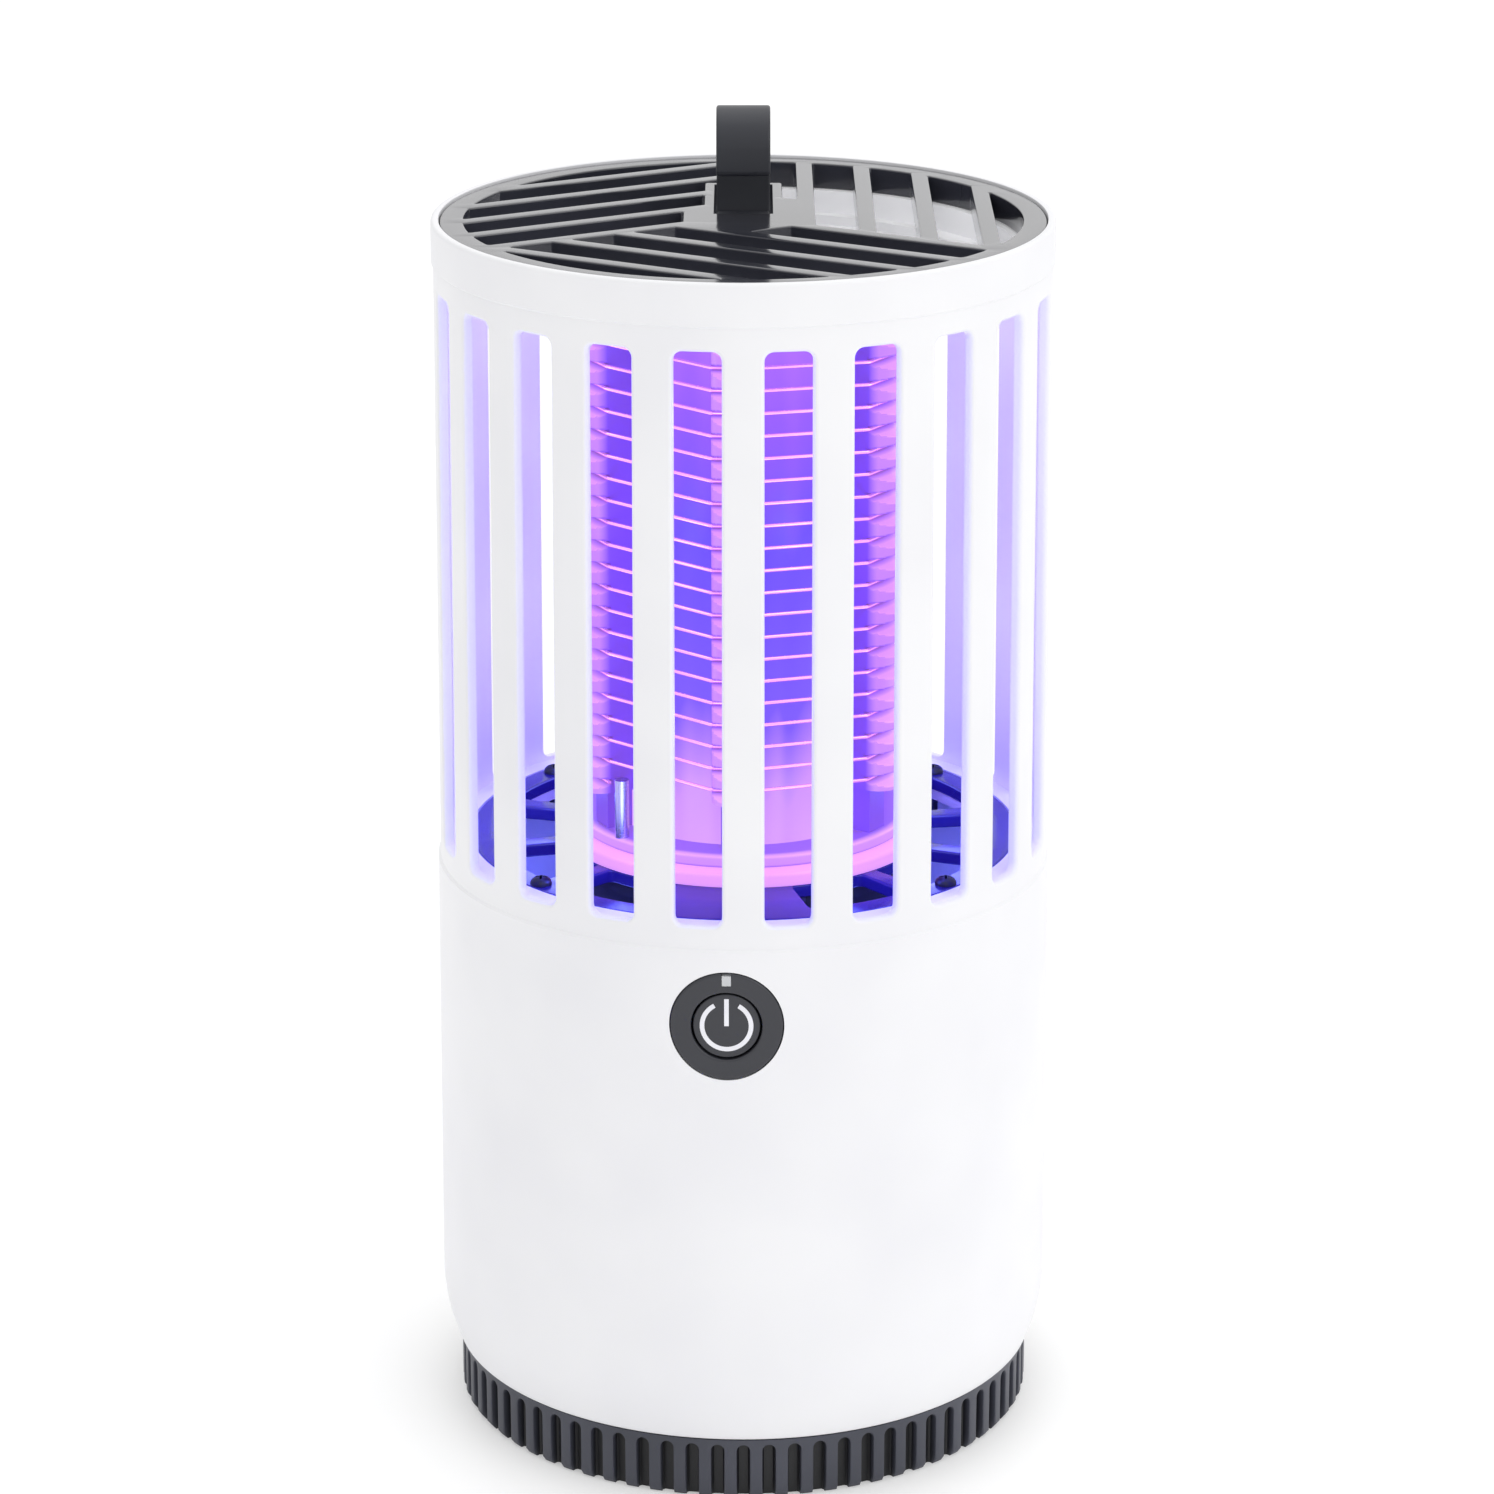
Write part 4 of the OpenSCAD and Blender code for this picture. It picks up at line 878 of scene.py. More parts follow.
groove = block("groove", 2 * groove_x, groove_front, groove_back, pivot_z - 1.6, grille_high.z + 3)
grille = combine(grille, groove, "DIFFERENCE")
hinge_bay = block("hinge_bay", 2 * groove_x, groove_front, groove_front + 5, grille_low.z - 1,
                  grille_high.z + 1)
grille = combine(grille, hinge_bay, "DIFFERENCE")
dress(grille, "body", "grey_abs", grey_abs, "top_grille", sharp=40)

# %% [markdown]
# ## The hook
# The hook is a moulded strap bent over into a U, with a round barrel at its foot for the pin. Seen from the
# side it is one outline with a hole, so it is cut as a plate as wide as the strap and laid on its side.

# %% Cut the hook from its side view
strap_t, bend_r = 2.0, 4.0
bend_out = bend_r + strap_t
bend_z = hook_high.z - bend_out
bend_y = pivot_y - strap_t / 2 - bend_r
lip_end = bend_z - 3.6
barrel_r = 2.0


def arc(centre, radius, start, end, steps):
    """Points on an arc, from start to end in degrees, anticlockwise if end is larger."""
    turns = [math.radians(start + (end - start) * k / steps) for k in range(steps + 1)]
    return [Vector((centre[0] + radius * math.cos(t), centre[1] + radius * math.sin(t))) for t in turns]


neck = math.degrees(math.asin(strap_t / 2 / barrel_r))
side_view = arc((pivot_y, pivot_z), barrel_r, 90 + neck, 450 - neck, 28)
side_view += arc((bend_y, bend_z), bend_out, 0, 180, 28)
side_view += arc((bend_y - bend_out + strap_t / 2, lip_end), strap_t / 2, 180, 360, 10)
side_view += arc((bend_y, bend_z), bend_r, 180, 0, 24)
pin_hole = circle(1.06, 32, (pivot_y, pivot_z))
on_its_side = Matrix(((0, 0, 1, 0), (1, 0, 0, 0), (0, 1, 0, 0), (0, 0, 0, 1)))
hook = plate("carrying_hook", [side_view, pin_hole], -hook_w / 2, hook_w / 2, 0.4, on_its_side)
dress(hook, "hook", "dark_abs", hook_pp, "hook", sharp=50)

# %% [markdown]
# ## The high-voltage grid
# Six comb posts of insulating plastic carry two steel wires that climb side by side like a double thread. A
# post is a stack of equal notches: a rounded tongue, cut in by a narrow V where the wire lies. One notch is
# lofted from slices, copied up the post, and the posts are copied round the tube in pairs.

# %% One notch of the comb
grid_r, wire_d, wire_gap, wire_bend_r = 27.2, 0.6, 3.75, 1.4
post_w = 7.6
tip_r = grid_r + 3.5
comb_in = tube_high.x + 1.6
root_r = grid_r * math.cos(math.radians(8)) - wire_d / 2 - 0.03
disc_top = tube_low.z
start_z = disc_top + 10.6
step_z = wire_gap / 3
comb_top = comb_high.z
last_z = comb_top - 3 - 1.6
upper_levels = (0.36, 0.7, 1.0, 1.18, 1.3, 1.42, 1.6, 1.875)
notch_levels = [-level for level in reversed(upper_levels)] + list(upper_levels)


def reach_at(level):
    """How far the tongue reaches out at that height from the wire."""
    narrow = root_r + max(abs(level) - wire_d / 2 - 0.06, 0) * 5.84
    over = max(min((abs(level) - 1.0) / 0.6, 1), 0)
    return min(narrow, tip_r - 0.9 * (1 - math.sqrt(1 - (1 - over) ** 2)))


def tongue(level):
    """Outline of the post at that height: a tongue, cut back to its reach."""
    reach, half = reach_at(level), post_w / 2
    ends = [half * math.sin(math.radians(a)) for a in range(-90, 91, 15)]
    outline = [(-half, comb_in)]
    outline += [(x, min(tip_r - half + math.sqrt(half * half - x * x + 1e-9), math.sqrt(reach**2 - x * x)))
                for x in ends]
    return outline + [(half, comb_in)]


slices = [[Vector((x, -y, level)) for x, y in tongue(level)] for level in notch_levels]
notch_faces = strips(len(slices), len(slices[0]), ring=True)
print(f"a notch is {len(slices)} slices of {len(slices[0])} points")

# %% [markdown]
# The two wires start at opposite posts and climb a third of the gap at each post. So the three pairs of posts
# have their notches at three different heights. A foot ring, legs and a top ring tie the posts together.

# %% Stack the notches and stand the posts round the tube
posts = []
for pair in range(3):
    low_z = start_z + (2 - pair) * step_z
    notches = int((last_z + wire_gap / 2 - low_z) / wire_gap) + 1
    notch = mesh_object("notch", [p + Vector((0, 0, low_z)) for s in slices for p in s], notch_faces)
    column = copied("column", notch, notches, comb_painted_glow, turn=0.0, rise=wire_gap)
    ends = bmesh.new()
    ends.from_mesh(column.data)
    bmesh.ops.holes_fill(ends, edges=[e for e in ends.edges if e.is_boundary], sides=0)
    bmesh.ops.recalc_face_normals(ends, faces=ends.faces)
    ends.to_mesh(column.data)
    ends.free()
    posts.append(copied("posts", column, 2, comb_painted_glow, first=60 * pair + yaw))
leg = block("leg", 4.6, -grid_r + 0.6, -comb_in, disc_top, start_z + 3, 0.3)
legs = copied("legs", leg, 6, comb_painted_glow, first=yaw)
top_ring = lathe("top_ring", rounded([(comb_in, comb_top - 3), (tip_r + 1.5, comb_top - 3),
                                      (tip_r + 1.5, comb_top), (comb_in, comb_top)], 0.5))
foot_ring = lathe("foot_ring", rounded([(comb_in, disc_top), (grid_r + 1.4, disc_top),
                                        (grid_r + 1.4, disc_top + 2), (comb_in, disc_top + 2)], 0.5))
comb = join("comb_posts", *posts, legs, top_ring, foot_ring)
dress(comb, "body", "comb_clear", comb_painted_glow, "comb_frame", sharp=50)

# %% [markdown]
# Each wire is a path that crosses one post after another. The tree numbers the path's points: two points at
# every post, a few degrees either side of its middle, and a small climb from post to post. The corners are
# eased, because wire can't bend sharply, and a round section is swept along.

# %% A tree that winds a wire round the posts
wire_tree, given = new_tree("wire_round_the_posts", {
    "Bends": "Int", "First turn": "Float", "Half post": "Float", "Post turn": "Float", "Grid radius": "Float",
    "Start height": "Float", "Climb": "Float", "Wire radius": "Float", "Finish": "Material"})
sums = {socket.name: socket for socket in given}
sums["number"] = add_node(wire_tree, "GeometryNodeInputIndex").outputs[0]
for name, operation, *terms in (
        ("half", "DIVIDE", "number", 2.0),
        ("post", "FLOOR", "half"),
        ("odd", "MODULO", "number", 2.0),
        ("side", "MULTIPLY_ADD", "odd", -2.0, 1.0),
        ("offset", "MULTIPLY_ADD", "side", "Half post", "First turn"),
        ("turn", "MULTIPLY_ADD", "post", "Post turn", "offset"),
        ("across", "SINE", "turn"),
        ("x", "MULTIPLY", "across", "Grid radius"),
        ("ahead", "COSINE", "turn"),
        ("back", "MULTIPLY", "ahead", "Grid radius"),
        ("y", "MULTIPLY", "back", -1.0),
        ("z", "MULTIPLY_ADD", "post", "Climb", "Start height")):
    inputs = {i: sums[term] if isinstance(term, str) else term for i, term in enumerate(terms)}
    sums[name] = add_node(wire_tree, "ShaderNodeMath", inputs, operation=operation)
spot = add_node(wire_tree, "ShaderNodeCombineXYZ", {"X": sums["x"], "Y": sums["y"], "Z": sums["z"]})
line = add_node(wire_tree, "GeometryNodeMeshLine", {"Count": given["Bends"]})
bent = add_node(wire_tree, "GeometryNodeSetPosition", {"Geometry": line, "Position": spot})
path = add_node(wire_tree, "GeometryNodeMeshToCurve", {0: bent})
eased = add_node(wire_tree, "GeometryNodeFilletCurve", {
    "Curve": path, "Radius": wire_bend_r * MM, "Count": 3}, mode="POLY")
section = add_node(wire_tree, "GeometryNodeCurvePrimitiveCircle", {"Resolution": 8,
                                                                   "Radius": given["Wire radius"]})
swept = add_node(wire_tree, "GeometryNodeCurveToMesh", {"Curve": eased,
                                                        "Profile Curve": section, "Fill Caps": True})
real = add_node(wire_tree, "GeometryNodeRealizeInstances", {0: swept})
finished = add_node(wire_tree, "GeometryNodeSetMaterial", {"Geometry": real,
                                                           "Material": given["Finish"]})
add_node(wire_tree, "NodeGroupOutput", {0: finished})

print(wire_tree.name, "has", len(wire_tree.nodes), "nodes")

# %% [markdown]
# The same tree winds both wires. They start half a turn apart, which is what keeps them insulated from each
# other: an insect bridges the gap, and nothing else does.

# %% Wind the two wires
climbs = int((last_z - start_z) / step_z)
for letter, first_turn in (("a", 120), ("b", 300)):
    wire = grow(f"grid_winding_{letter}", wire_tree, {
        "Bends": 2 * climbs + 2, "First turn": math.radians(first_turn + yaw), "Half post": math.radians(8),
        "Post turn": math.radians(-60), "Grid radius": grid_r * MM, "Start height": start_z * MM,
        "Climb": step_z * MM, "Wire radius": wire_d / 2 * MM, "Finish": grid_wire_painted_glow})
    weld(wire)
    dress(wire, "body", "wire_steel", grid_wire_painted_glow, f"grid_wire_{letter}", sharp=60)

# %% [markdown]
# ## Disc and deck
# A pale disc under the grid hides the diodes' leads. Round it lies the deck: a plate with ten openings that
# insects fall through, and two closed places above the button and the charging socket. The openings have
# round corners, so nothing catches on them.

# %% Disc
disc_low, disc_high = box_mm("lamp_disc")
lead_hole_r = 3
disc = lathe("pale_disc", rounded([(lead_hole_r, disc_low.z), (disc_high.x, disc_low.z),
                                   (disc_high.x, disc_high.z), (lead_hole_r, disc_high.z)], 0.7, 4))
dress(disc, "body", "lamp_white", disc_painted_glow, "lamp_disc")

# %% [markdown]
# The deck is cut from one round outline and ten openings. Each opening is part of a ring, so the bars between
# them stay equally wide, and its corners are eased with a larger radius than the plate's own edge.

# %% Deck
places, spoke_deg = 12, 6.0
core_r = 29.0
hole_in, hole_out = core_r + 2, deck_r - 4.3


def ring_part(r1, r2, centre_turn, degrees, corner):
    """A part of a flat ring with round corners."""
    turns = [centre_turn - degrees / 2 + degrees * k / 6 for k in range(7)]
    outline = [tuple(turned(r2, t).xy) for t in turns] + [tuple(turned(r1, t).xy) for t in reversed(turns)]
    return rounded([p + (corner if i in (0, 6, 7, 13) else 0.0,) for i, p in enumerate(outline)], corner, 5)


deck_loops = [circle(deck_r), circle(core_r + 0.15)]
deck_loops += [ring_part(hole_in, hole_out, 360 / places * k + yaw, 360 / places - spoke_deg, 2.0)
               for k in range(1, places) if k != places // 2]
deck = plate("drop_deck_plate", deck_loops, deck_low.z, deck_high.z, 0.4)
dress(deck, "body", "deck_navy", deck_abs, "drop_deck")

# %% [markdown]
# ## Screws
# All the screws are pan heads with a cross recess, in three sizes. One is turned at the axis, the cross is
# cut into its head, it is moved to its first place, and the copying tree sets the rest of its circle.

# %% Screws
def pan_screw(head_d, shank_d, length):
    """A pan-head screw on the axis, its head standing on height 0."""
    head_h = head_d * 0.38
    dome = [(head_d / 2 * math.cos(math.radians(a)), 0.25 + (head_h - 0.25) * math.sin(math.radians(a)))
            for a in (0, 20, 40, 60, 78)]
    outline = [(0, -length), (shank_d / 2, -length), (shank_d / 2, 0), (head_d / 2, 0), *dome, (0, head_h)]
    body = lathe("screw", outline, 24)
    for flip in (0, 90):
        bar = plate("bar", [rectangle(head_d * 0.6, -head_d * 0.06, head_d * 0.06, 0.05, 1)],
                    head_h * 0.4, head_h + 1, 0.02, spun(flip))
        body = combine(body, bar, "DIFFERENCE")
    return body


def screw_circle(name, node, radius, turns, head_d, shank_d, length, finish=zinc, upside_down=False):
    """Screws at those turns; an even circle or pairs half a turn apart."""
    low, high = box_mm(node)
    stand = low.z + head_d * 0.38 if upside_down else high.z - head_d * 0.38
    parts = []
    for first_turn, copies in turns:
        one = pan_screw(head_d, shank_d, length)
        if upside_down:
            one.data.transform(Matrix.Rotation(math.pi, 4, "X"))
        one.data.transform(Matrix.Translation(turned(radius, first_turn, stand) * MM))
        parts.append(copied("set", one, copies, finish))
    whole = join(name, *parts)
    weld(whole, 0.0005)
    return dress(whole, "body", "steel", finish, node, sharp=35)


deck_screw_turns = [(round(a * window_count / 360) * 360 / window_count, 2) for a in (45, 135)]
cap_screw_r, disc_screw_r, cover_screw_r = comb_in + 3.6, 14, core_r - 4
screw_circle("deck_pan_screws", "deck_screws", deck_r - 2.2, deck_screw_turns, 3.6, 1.8, 7.4, black_zinc)
screw_circle("cap_pan_screws", "cap_screws", cap_screw_r, [(45, 3)], 4.0, 2.0, 6.9)
screw_circle("disc_pan_screws", "disc_screws", disc_screw_r, [(30, 3)], 4.0, 2.0, 8.0)
screw_circle("cover_pan_screws", "cover_screws", cover_screw_r, [(0, 3)], 3.4, 1.8, 8.0, upside_down=True)

# %% [markdown]
# ## The power button
# The bezel follows the drum's curve and has two shallow finger dishes beside the cap. Its face is a height
# field: for each point of a round grid, take the lower of the drum's surface and the two dishes, eased where
# they meet. The cap is made the same way, from rings that shrink towards its middle.

# %% The button's bezel
cap_d, cap_gap, bezel_back = 10.9, 0.3, face_r - 5.2
dish_r, dish_depth, dish_side = 17.0, 0.85, 1.4


def soft_min(a, b, width):
    """The smaller of two heights, with the crease between them eased over width."""
    share = max(width - abs(a - b), 0) / width
    return min(a, b) - share * share * width / 4


def bezel_face(x, z, proud=0.12):
    """Distance of the bezel's face from the drum's axis plane."""
    height = math.sqrt((outer_r(z) + proud) ** 2 - x * x)
    for sign in (-1, 1):
        room = dish_r**2 - (x - sign * dish_side) ** 2 - (z - button_z) ** 2
        if room > 0:
            height = soft_min(height, face_r + dish_r - dish_depth - math.sqrt(room), 0.22)
    return height


def round_grid(name, rows, steps, to_point):
    """A closed tube of rows, each a ring of points; to_point gives (x, y, z) for a row and a turn."""
    points = [to_point(row, 2 * math.pi * k / steps) for row in rows for k in range(steps)]
    return mesh_object(name, points, strips(len(rows), steps, ring=True, loop=True))


hole_edge, rim_edge = cap_d / 2 + cap_gap, bezel_d / 2
inner_rows = [(hole_edge, None), (hole_edge, 0.3), (hole_edge + 0.07, 0.1), (hole_edge + 0.22, 0.0)]
face_rows = [(hole_edge + 0.22 + (rim_edge - 0.4 - hole_edge - 0.22) * k / 16, 0.0) for k in range(1, 17)]
outer_rows = [(rim_edge - 0.18, 0.06), (rim_edge - 0.05, 0.18), (rim_edge, 0.42), (rim_edge, None)]


def bezel_point(row, angle):
    """A point of the bezel; a row without depth lies on the back."""
    radius, depth = row
    x, z = radius * math.cos(angle), button_z + radius * math.sin(angle)
    return Vector((x, -bezel_back if depth is None else -(bezel_face(x, z) - depth), z))


bezel = round_grid("button_bezel_ring", inner_rows + face_rows + outer_rows, 144, bezel_point)
bezel.data.transform(spun(yaw))
pipe_z = button_z + bezel_d / 2 - 1.4
notch_cut = plate("notch_cut", [rectangle(1.6, pipe_z - 0.9, pipe_z + 4, 0.3, 3)], -6, 3, 0.02,
                  outwards(yaw, face_r))
bezel = combine(bezel, notch_cut, "DIFFERENCE")
dress(bezel, "body", "button_grey", button_abs, "button_bezel", sharp=40)

# %% [markdown]
# A shield is a thick skin over any upright outline. Rings of points shrink from the outline towards the
# middle, and each point is set on a given face. The cap uses it here, and the charging flap uses it again
# below.

# %% The button's cap
def shield(name, outline, centre, face, edge, back):
    """A thick skin over an upright outline: its face follows the function face, with a rounded edge."""
    middle = Vector(centre)
    rows = [(1.0, None)]
    size = min((p - middle).length for p in outline)
    rows += [(1 - edge * (1 - math.cos(a)) / size, edge * (1 - math.sin(a)))
             for a in (math.radians(30 * k) for k in range(4))]
    rows += [(share, 0.0) for share in (0.85, 0.7, 0.5, 0.3, 0.12, 0.0)]
    points, count = [], len(outline)
    for share, depth in rows:
        for corner in outline:
            x, z = middle + (corner - middle) * share
            points.append(Vector((x, -back if depth is None else -(face(x, z) - depth), z)))
    points += [Vector((middle.x, -back, middle.y))] * count
    return mesh_object(name, points, strips(len(rows) + 1, count, ring=True, loop=True))


cap = shield("button_cap_disc", circle(cap_d / 2, 96, (0, button_z)), (0, button_z),
             lambda x, z: math.sqrt((outer_r(z) - 0.25) ** 2 - x * x), 0.2, face_r - 4.6)
cap.data.transform(spun(yaw))
dress(cap, "power_button", "button_grey", button_abs, "button_cap")

# %% [markdown]
# ## The charging flap
# A soft silicone flap closes the charging socket at the back. It is a shield over a rounded rectangle, with a
# rolled top edge that it bends on and a plug on its inside that grips the socket.

# %% Flap
flap_outline = [Vector(p) for p in rectangle(flap_w, flap_bottom, flap_high.z - 0.55, 1.2, 6)]
flap_joint = next(j for j in frame["joints"] if j["name"] == "flap_open")["pos_m"]
hinge_r = math.hypot(flap_joint[0], flap_joint[1]) / MM
hinge_z = flap_joint[2] / MM
dense = []
for here, after in zip(flap_outline, flap_outline[1:] + flap_outline[:1]):
    cuts = max(1, int((after - here).length / 1.2))
    dense += [here.lerp(after, k / cuts) for k in range(cuts)]
skin = shield("flap_skin", dense, (0, flap_bottom + flap_h / 2 - 0.4),
              lambda x, z: math.sqrt((outer_r(z) - 0.1) ** 2 - x * x), 0.4, pocket_r + 0.3)
plug = plate("flap_plug", [rectangle(9.0, button_z - 1.65, button_z + 1.65, 1.5, 6)], pocket_r - 0.4,
             pocket_r + 0.6, 0.2, Matrix.Rotation(math.pi / 2, 4, "X"))
roll_r, roll_half = 0.5, flap_w / 2 - 2
roll = lathe("flap_roll", rounded([(0, -roll_half), (roll_r, -roll_half, 0.2), (roll_r, roll_half, 0.2),
                                   (0, roll_half)], 0.0), 24)
roll.data.transform(Matrix.Translation((0, -hinge_r * MM, hinge_z * MM)) @
                    Matrix.Rotation(math.pi / 2, 4, "Y"))
flap = join("charging_flap", skin, plug, roll)
flap.data.transform(spun(rear_turn))
dress(flap, "inlet_cover", "rubber_grey", grey_rubber, "inlet_flap")

# %% [markdown]
# ## Lock ring and tray
# The ring at the foot is turned by hand, so it has seventy-two ribs. One rib pitch is built as a strip: flat
# outside, with a round-topped flute pressed into it, and the copying tree closes the ring. The neck with its
# three lugs goes up inside the drum and locks under the catches.

# %% One pitch of the ribbed ring
ring_r, ring_top, flute_depth, ribs = ring_high.x, skirt_z - 0.3, 1.7, 72
pitch_deg = 360 / ribs
flute_half = math.pi * ring_r * 2 / ribs / 4
arch_z = ring_top - 1 - flute_half
tray_lip, turning_gap = 2.4, 0.35
tray_r = tray_high.x - tray_lip
ring_in = tray_r + turning_gap
notch_r, notch_z = tray_high.x + turning_gap, 2.75
rib_edge, foot_round = 0.28, 0.8


def flute_path(grow_by):
    """From the foot up one side of the flute, over its arch and down, moved outwards by grow_by."""
    half = flute_half + grow_by
    path = [(-half, 0.0), (-half, 1.0), (-half, arch_z / 2)]
    path += [(-half * math.cos(math.radians(a)), arch_z + half * math.sin(math.radians(a)))
             for a in range(0, 181, 20)]
    return path + [(half, arch_z / 2), (half, 1.0), (half, 0.0)]


def border_path():
    """The border of the pitch, point for point beside the flute's path."""
    half = math.radians(pitch_deg / 2) * ring_r
    path = [(-half, 0.0), (-half, 1.0), (-half, arch_z / 2), (-half, arch_z), (-half, ring_top - 0.9),
            (-half, ring_top), (-half * 0.66, ring_top), (-half * 0.33, ring_top)]
    path += [(-x, z) for x, z in reversed(path)]
    return path


def on_ring(path, depth):
    """Points of a path laid on the ring, with the rib's foot rounded in."""
    points = []
    for x, z in path:
        foot = foot_round - math.sqrt(foot_round**2 - max(foot_round - z, 0) ** 2)
        points.append(turned(ring_r - max(depth, foot), math.degrees(x / ring_r), z))
    return points


levels = [border_path(), flute_path(rib_edge), flute_path(rib_edge * 0.3), flute_path(0), flute_path(0)]
depths = [0.0, 0.0, rib_edge * 0.3, rib_edge, flute_depth - 0.3]
loops = [on_ring(path, depth) for path, depth in zip(levels, depths)]
loops.append(on_ring(flute_path(-0.3), flute_depth))
loops.append(on_ring([(0.0, z) for _, z in flute_path(-0.3)], flute_depth))
wide = len(loops[0])
rib_points = [p for loop in loops for p in loop]
rib_faces = strips(len(loops), wide)
print(f"border {len(levels[0])} points, flute {len(levels[1])} points, pitch {pitch_deg:.0f} degrees")

# %% [markdown]
# The pitch is closed at both ends and round the back, so that the copies weld into one solid ring. The neck
# above it is turned on the lathe, and the three lugs on it mate with the catches of the drum.

# %% Close the ring, add its neck and lugs
for end, sign in ((0, 1), (wide - 1, -1)):
    inner_turn = pitch_deg / 2 * (-sign)
    first = len(rib_points)
    rib_points += [turned(notch_r, inner_turn * (1 - k / (len(loops) - 1)), 0) for k in range(len(loops))]
    rib_faces += [(i * wide + end, (i + 1) * wide + end, first + i + 1, first + i)
                  for i in range(len(loops) - 1)]
cross = [(notch_r, 0), (notch_r, notch_z), (ring_in, notch_z), (ring_in, ring_top), (ring_r, ring_top)]
for (r1, z1), (r2, z2) in zip(cross, cross[1:]):
    first = len(rib_points)
    turns = [pitch_deg * (t - 0.5) for t in (0, 0.17, 0.335, 0.665, 0.83, 1)]
    rib_points += [turned(r, t, z) for t in turns for r, z in ((r1, z1), (r2, z2))]
    rib_faces += strips(len(turns), 2, first)
rib = mesh_object("rib_pitch", rib_points, rib_faces)
ribbed = copied("ribbed", rib, ribs, ring_abs)
weld(ribbed, 0.004)
lug_h, lug_reach, lug_deg = 2.7, 2.4, 30
lug_low, lug_high = ring_high.z - lug_h, ring_high.z
neck_ring = lathe("neck_ring", rounded([(ring_in, ring_top - 1), (neck_r, ring_top - 1), (neck_r, lug_high),
                                        (ring_in, lug_high)], 0.3))
lug = arc_piece("lug", neck_r - 0.5, neck_r + lug_reach, lug_low, lug_high, lug_deg, catch_edge)
lugs = copied("lugs", lug, 3, ring_abs)
ring = join("ribbed_lock_ring", ribbed, neck_ring, lugs)
dress(ring, "tray_lock", "dark_abs", ring_abs, "lock_ring", sharp=40)

# %% [markdown]
# The tray is a plain dish with a lip, which rests in the ring's notch and lets the ring turn round it. Four
# rubber feet under it keep the lamp from sliding.

# %% Tray and its rubber feet
tray_floor_t, tray_wall_t = 1.8, 1.6
tray_outline = [(0, tray_low.z), (tray_high.x, tray_low.z), (tray_high.x, tray_low.z + 1.4),
                (tray_r, tray_low.z + 1.4), (tray_r, tray_high.z), (tray_r - tray_wall_t, tray_high.z),
                (tray_r - tray_wall_t, tray_low.z + tray_floor_t, 1.2), (0, tray_low.z + tray_floor_t)]
tray = lathe("insect_tray", rounded([p if p[0] else p + (0.0,) for p in tray_outline], 0.3))
dress(tray, "tray", "dark_abs", core_abs, "collection_tray")
foot = lathe("foot", rounded([(0, 0, 0.0), (4, 0), (4, tray_low.z, 0.0), (0, tray_low.z, 0.0)], 0.35), 36)
foot.data.transform(Matrix.Translation(turned(34, 45) * MM))
feet = copied("rubber_feet", foot, 4, black_rubber)
dress(feet, "tray", "pad_rubber", black_rubber, "foot_pads")

# %% [markdown]
# ## Pieces that keep their CAD shape
# Small and hidden pieces are already right, so each only gets its finish in the place of the plain one.

# %% Finishes for the carried-over pieces
carried = {
    "hook_pin": pin_steel, "lamp_cap": lamp_white, "grid_terminals": pin_steel, "light_tube": tube_glow,
    "uv_led_board": board_white, "uv_leds": diode_glow, "core_housing": core_abs, "core_cover": core_abs,
    "battery_cell": cell_wrap, "battery_cradle": core_abs, "main_board": board_green,
    "board_parts": black_epoxy, "hv_transformer": winding, "storage_capacitors": dipped_film,
    "battery_leads": lead_pvc, "lamp_leads": lead_pvc, "grid_leads": lead_pvc, "switch_leads": lead_pvc,
    "power_symbol": symbol_ink, "switch_plunger": black_epoxy, "push_switch": black_epoxy,
    "switch_board": board_green, "status_led": clear_acrylic, "status_light_pipe": clear_acrylic,
    "charging_inlet": nickel, "charge_board": board_green}
for node, finish in carried.items():
    mesh = frame["nodes"][node].data
    mesh.materials.clear()
    mesh.materials.append(finish)
print(len(carried), "CAD pieces finished")

# %% [markdown]
# ## Light and floor
# A white product on a white floor needs broad, soft light from all round, a little stronger from the right
# and above, so that the drum's left side turns just a shade darker.

# %% Floor, lights and sky
floor_mesh = bpy.data.meshes.new("studio_floor")
reach = 6.0
floor_mesh.from_pydata([(-reach, -reach, 0), (reach, -reach, 0), (reach, reach, 0), (-reach, reach, 0)], [],
                       [(0, 1, 2, 3)])
floor = bpy.data.objects.new("studio_floor", floor_mesh)
scene.collection.objects.link(floor)
floor_mesh.materials.append(moulded("pale_studio_floor", "#dcdcdc", "#dadada", 0.6, grain=2.0, height=0.01,
                                    flow=400.0, Emission_Color=(1, 1, 1, 1), Emission_Strength=0.3))


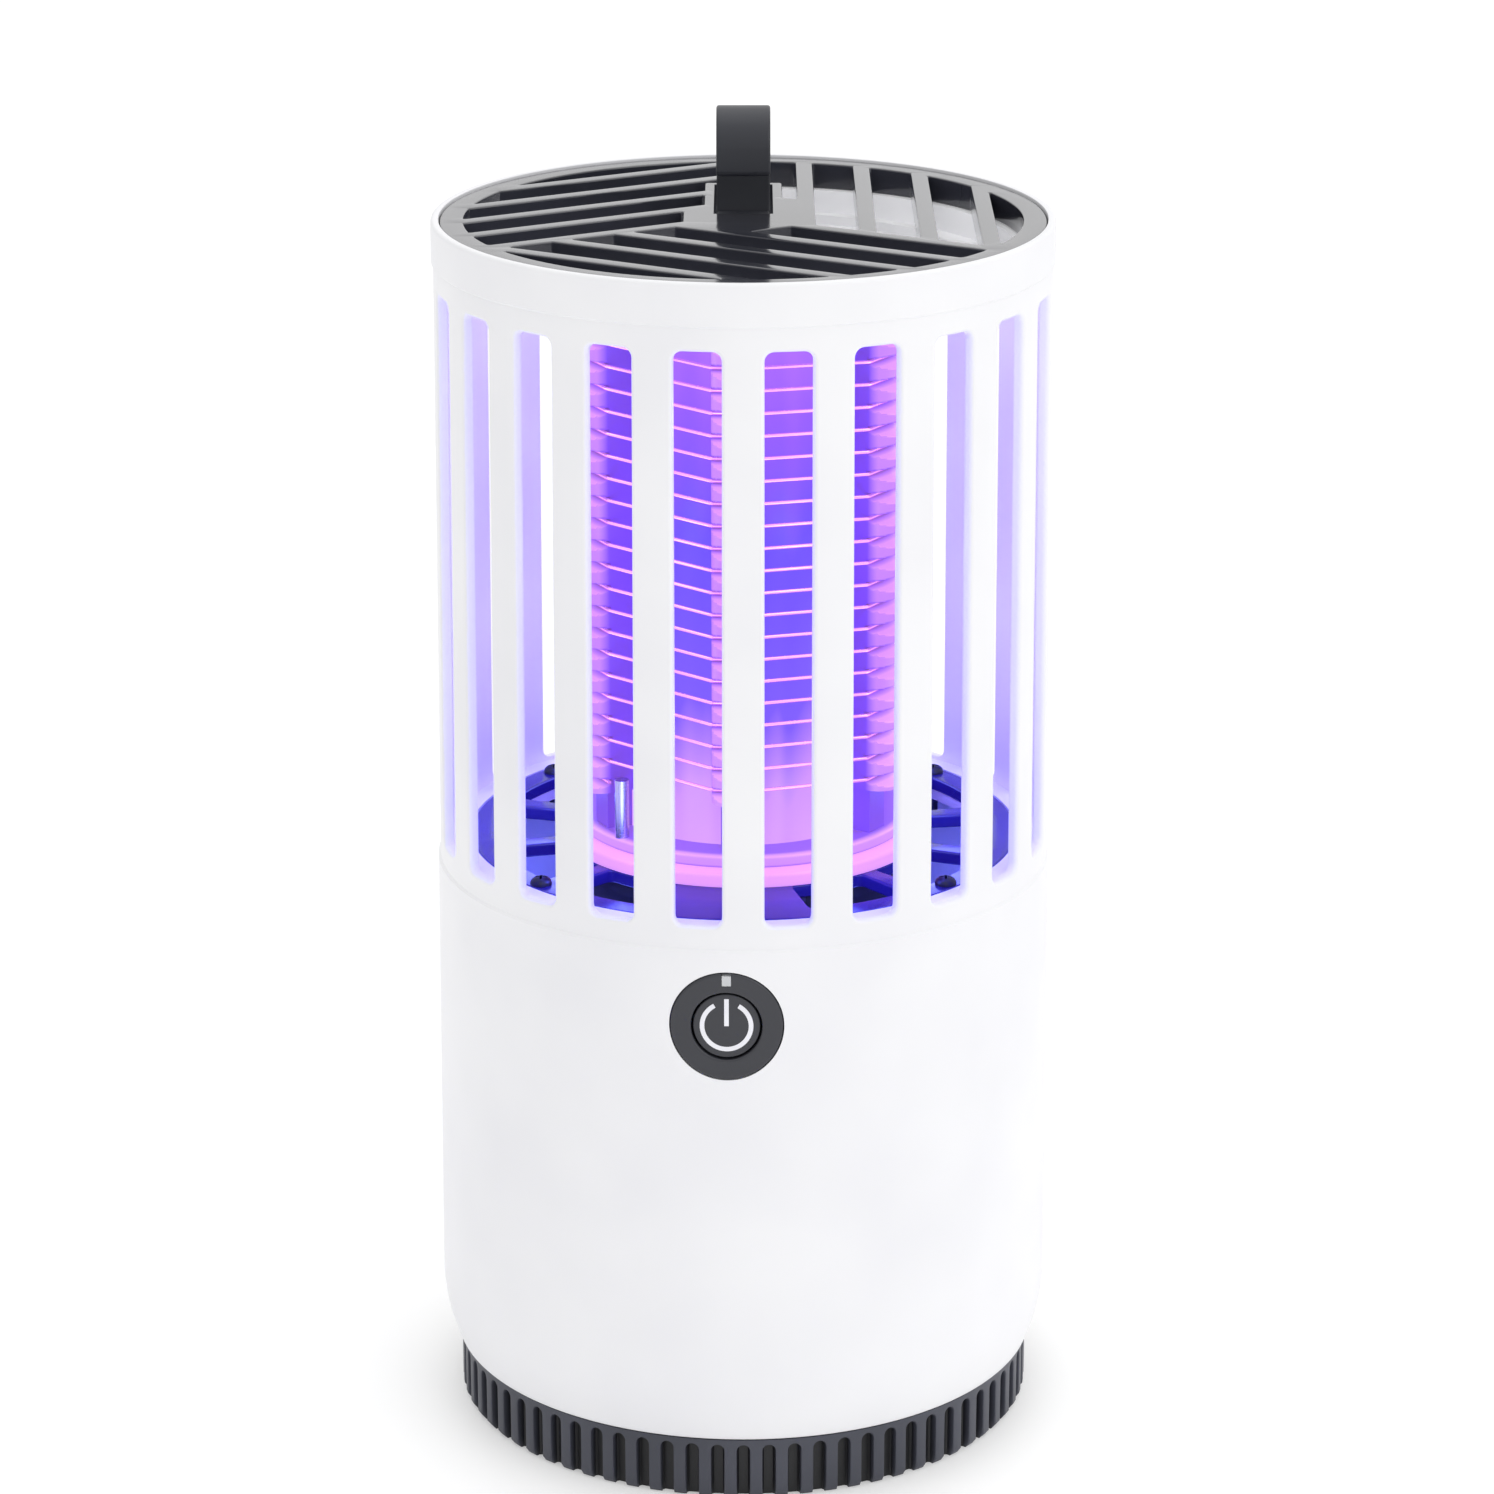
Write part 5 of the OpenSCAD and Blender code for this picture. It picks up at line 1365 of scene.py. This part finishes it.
def area_light(name, place, aim, size, power):
    """A square soft light at place, turned to aim, both in metres."""
    data = bpy.data.lights.new(name, "AREA")
    data.size = size
    data.energy = power
    light = bpy.data.objects.new(name, data)
    light.location = place
    light.rotation_euler = (Vector(aim) - Vector(place)).to_track_quat("-Z", "Y").to_euler()
    scene.collection.objects.link(light)


area_light("key_right", (1.3, -1.4, 1.1), (0, 0, 0.1), 1.2, 5)
area_light("top_soft", (0, 0.3, 1.9), (0, 0, 0.1), 1.8, 4)
sky_world = bpy.data.worlds.new("studio_sky")
sky_world.use_nodes = True
sky = sky_world.node_tree
outlook = add_node(sky, "ShaderNodeTexCoord")
direction = add_node(sky, "ShaderNodeSeparateXYZ", {0: outlook.outputs["Generated"]})
sideways = add_node(sky, "ShaderNodeMath", {0: direction.outputs["X"], 1: 0.14, 2: 0.8},
                    operation="MULTIPLY_ADD")
forwards = add_node(sky, "ShaderNodeMath", {0: direction.outputs["Y"], 1: 0.1, 2: sideways},
                    operation="MULTIPLY_ADD")
upwards = add_node(sky, "ShaderNodeMath", {0: direction.outputs["Z"], 1: 0.34, 2: forwards},
                   operation="MULTIPLY_ADD")
sky.links.new(upwards.outputs[0], sky.nodes["Background"].inputs["Strength"])
sky.nodes["Background"].inputs["Color"].default_value = (1, 1, 1, 1)
scene.world = sky_world
print(f"floor {2 * reach:.0f} m across, sky of {len(sky.nodes)} nodes")

# %% [markdown]
# The violet light that falls on the white bars comes from the diodes in the tube. Small soft lamps stand in
# for them, in rings between the tube and the windows, and one ring where the light falls through the deck.

# %% Violet lamps
for level, lift in enumerate((-24, 8, 30, 55, 80)):
    for k in range(6):
        lamp_data = bpy.data.lights.new("violet_lamp", "POINT")
        lamp_data.color = (0.12, 0.15, 1.0)
        lamp_data.shadow_soft_size = 5 * MM
        lamp_data.energy = 0.009
        lamp = bpy.data.objects.new("violet_lamp", lamp_data)
        lamp.location = turned(35.5, 60 * k + 30 * (level % 2) + yaw, foot_z + lift) * MM
        scene.collection.objects.link(lamp)
scene.view_settings.view_transform = "Standard"
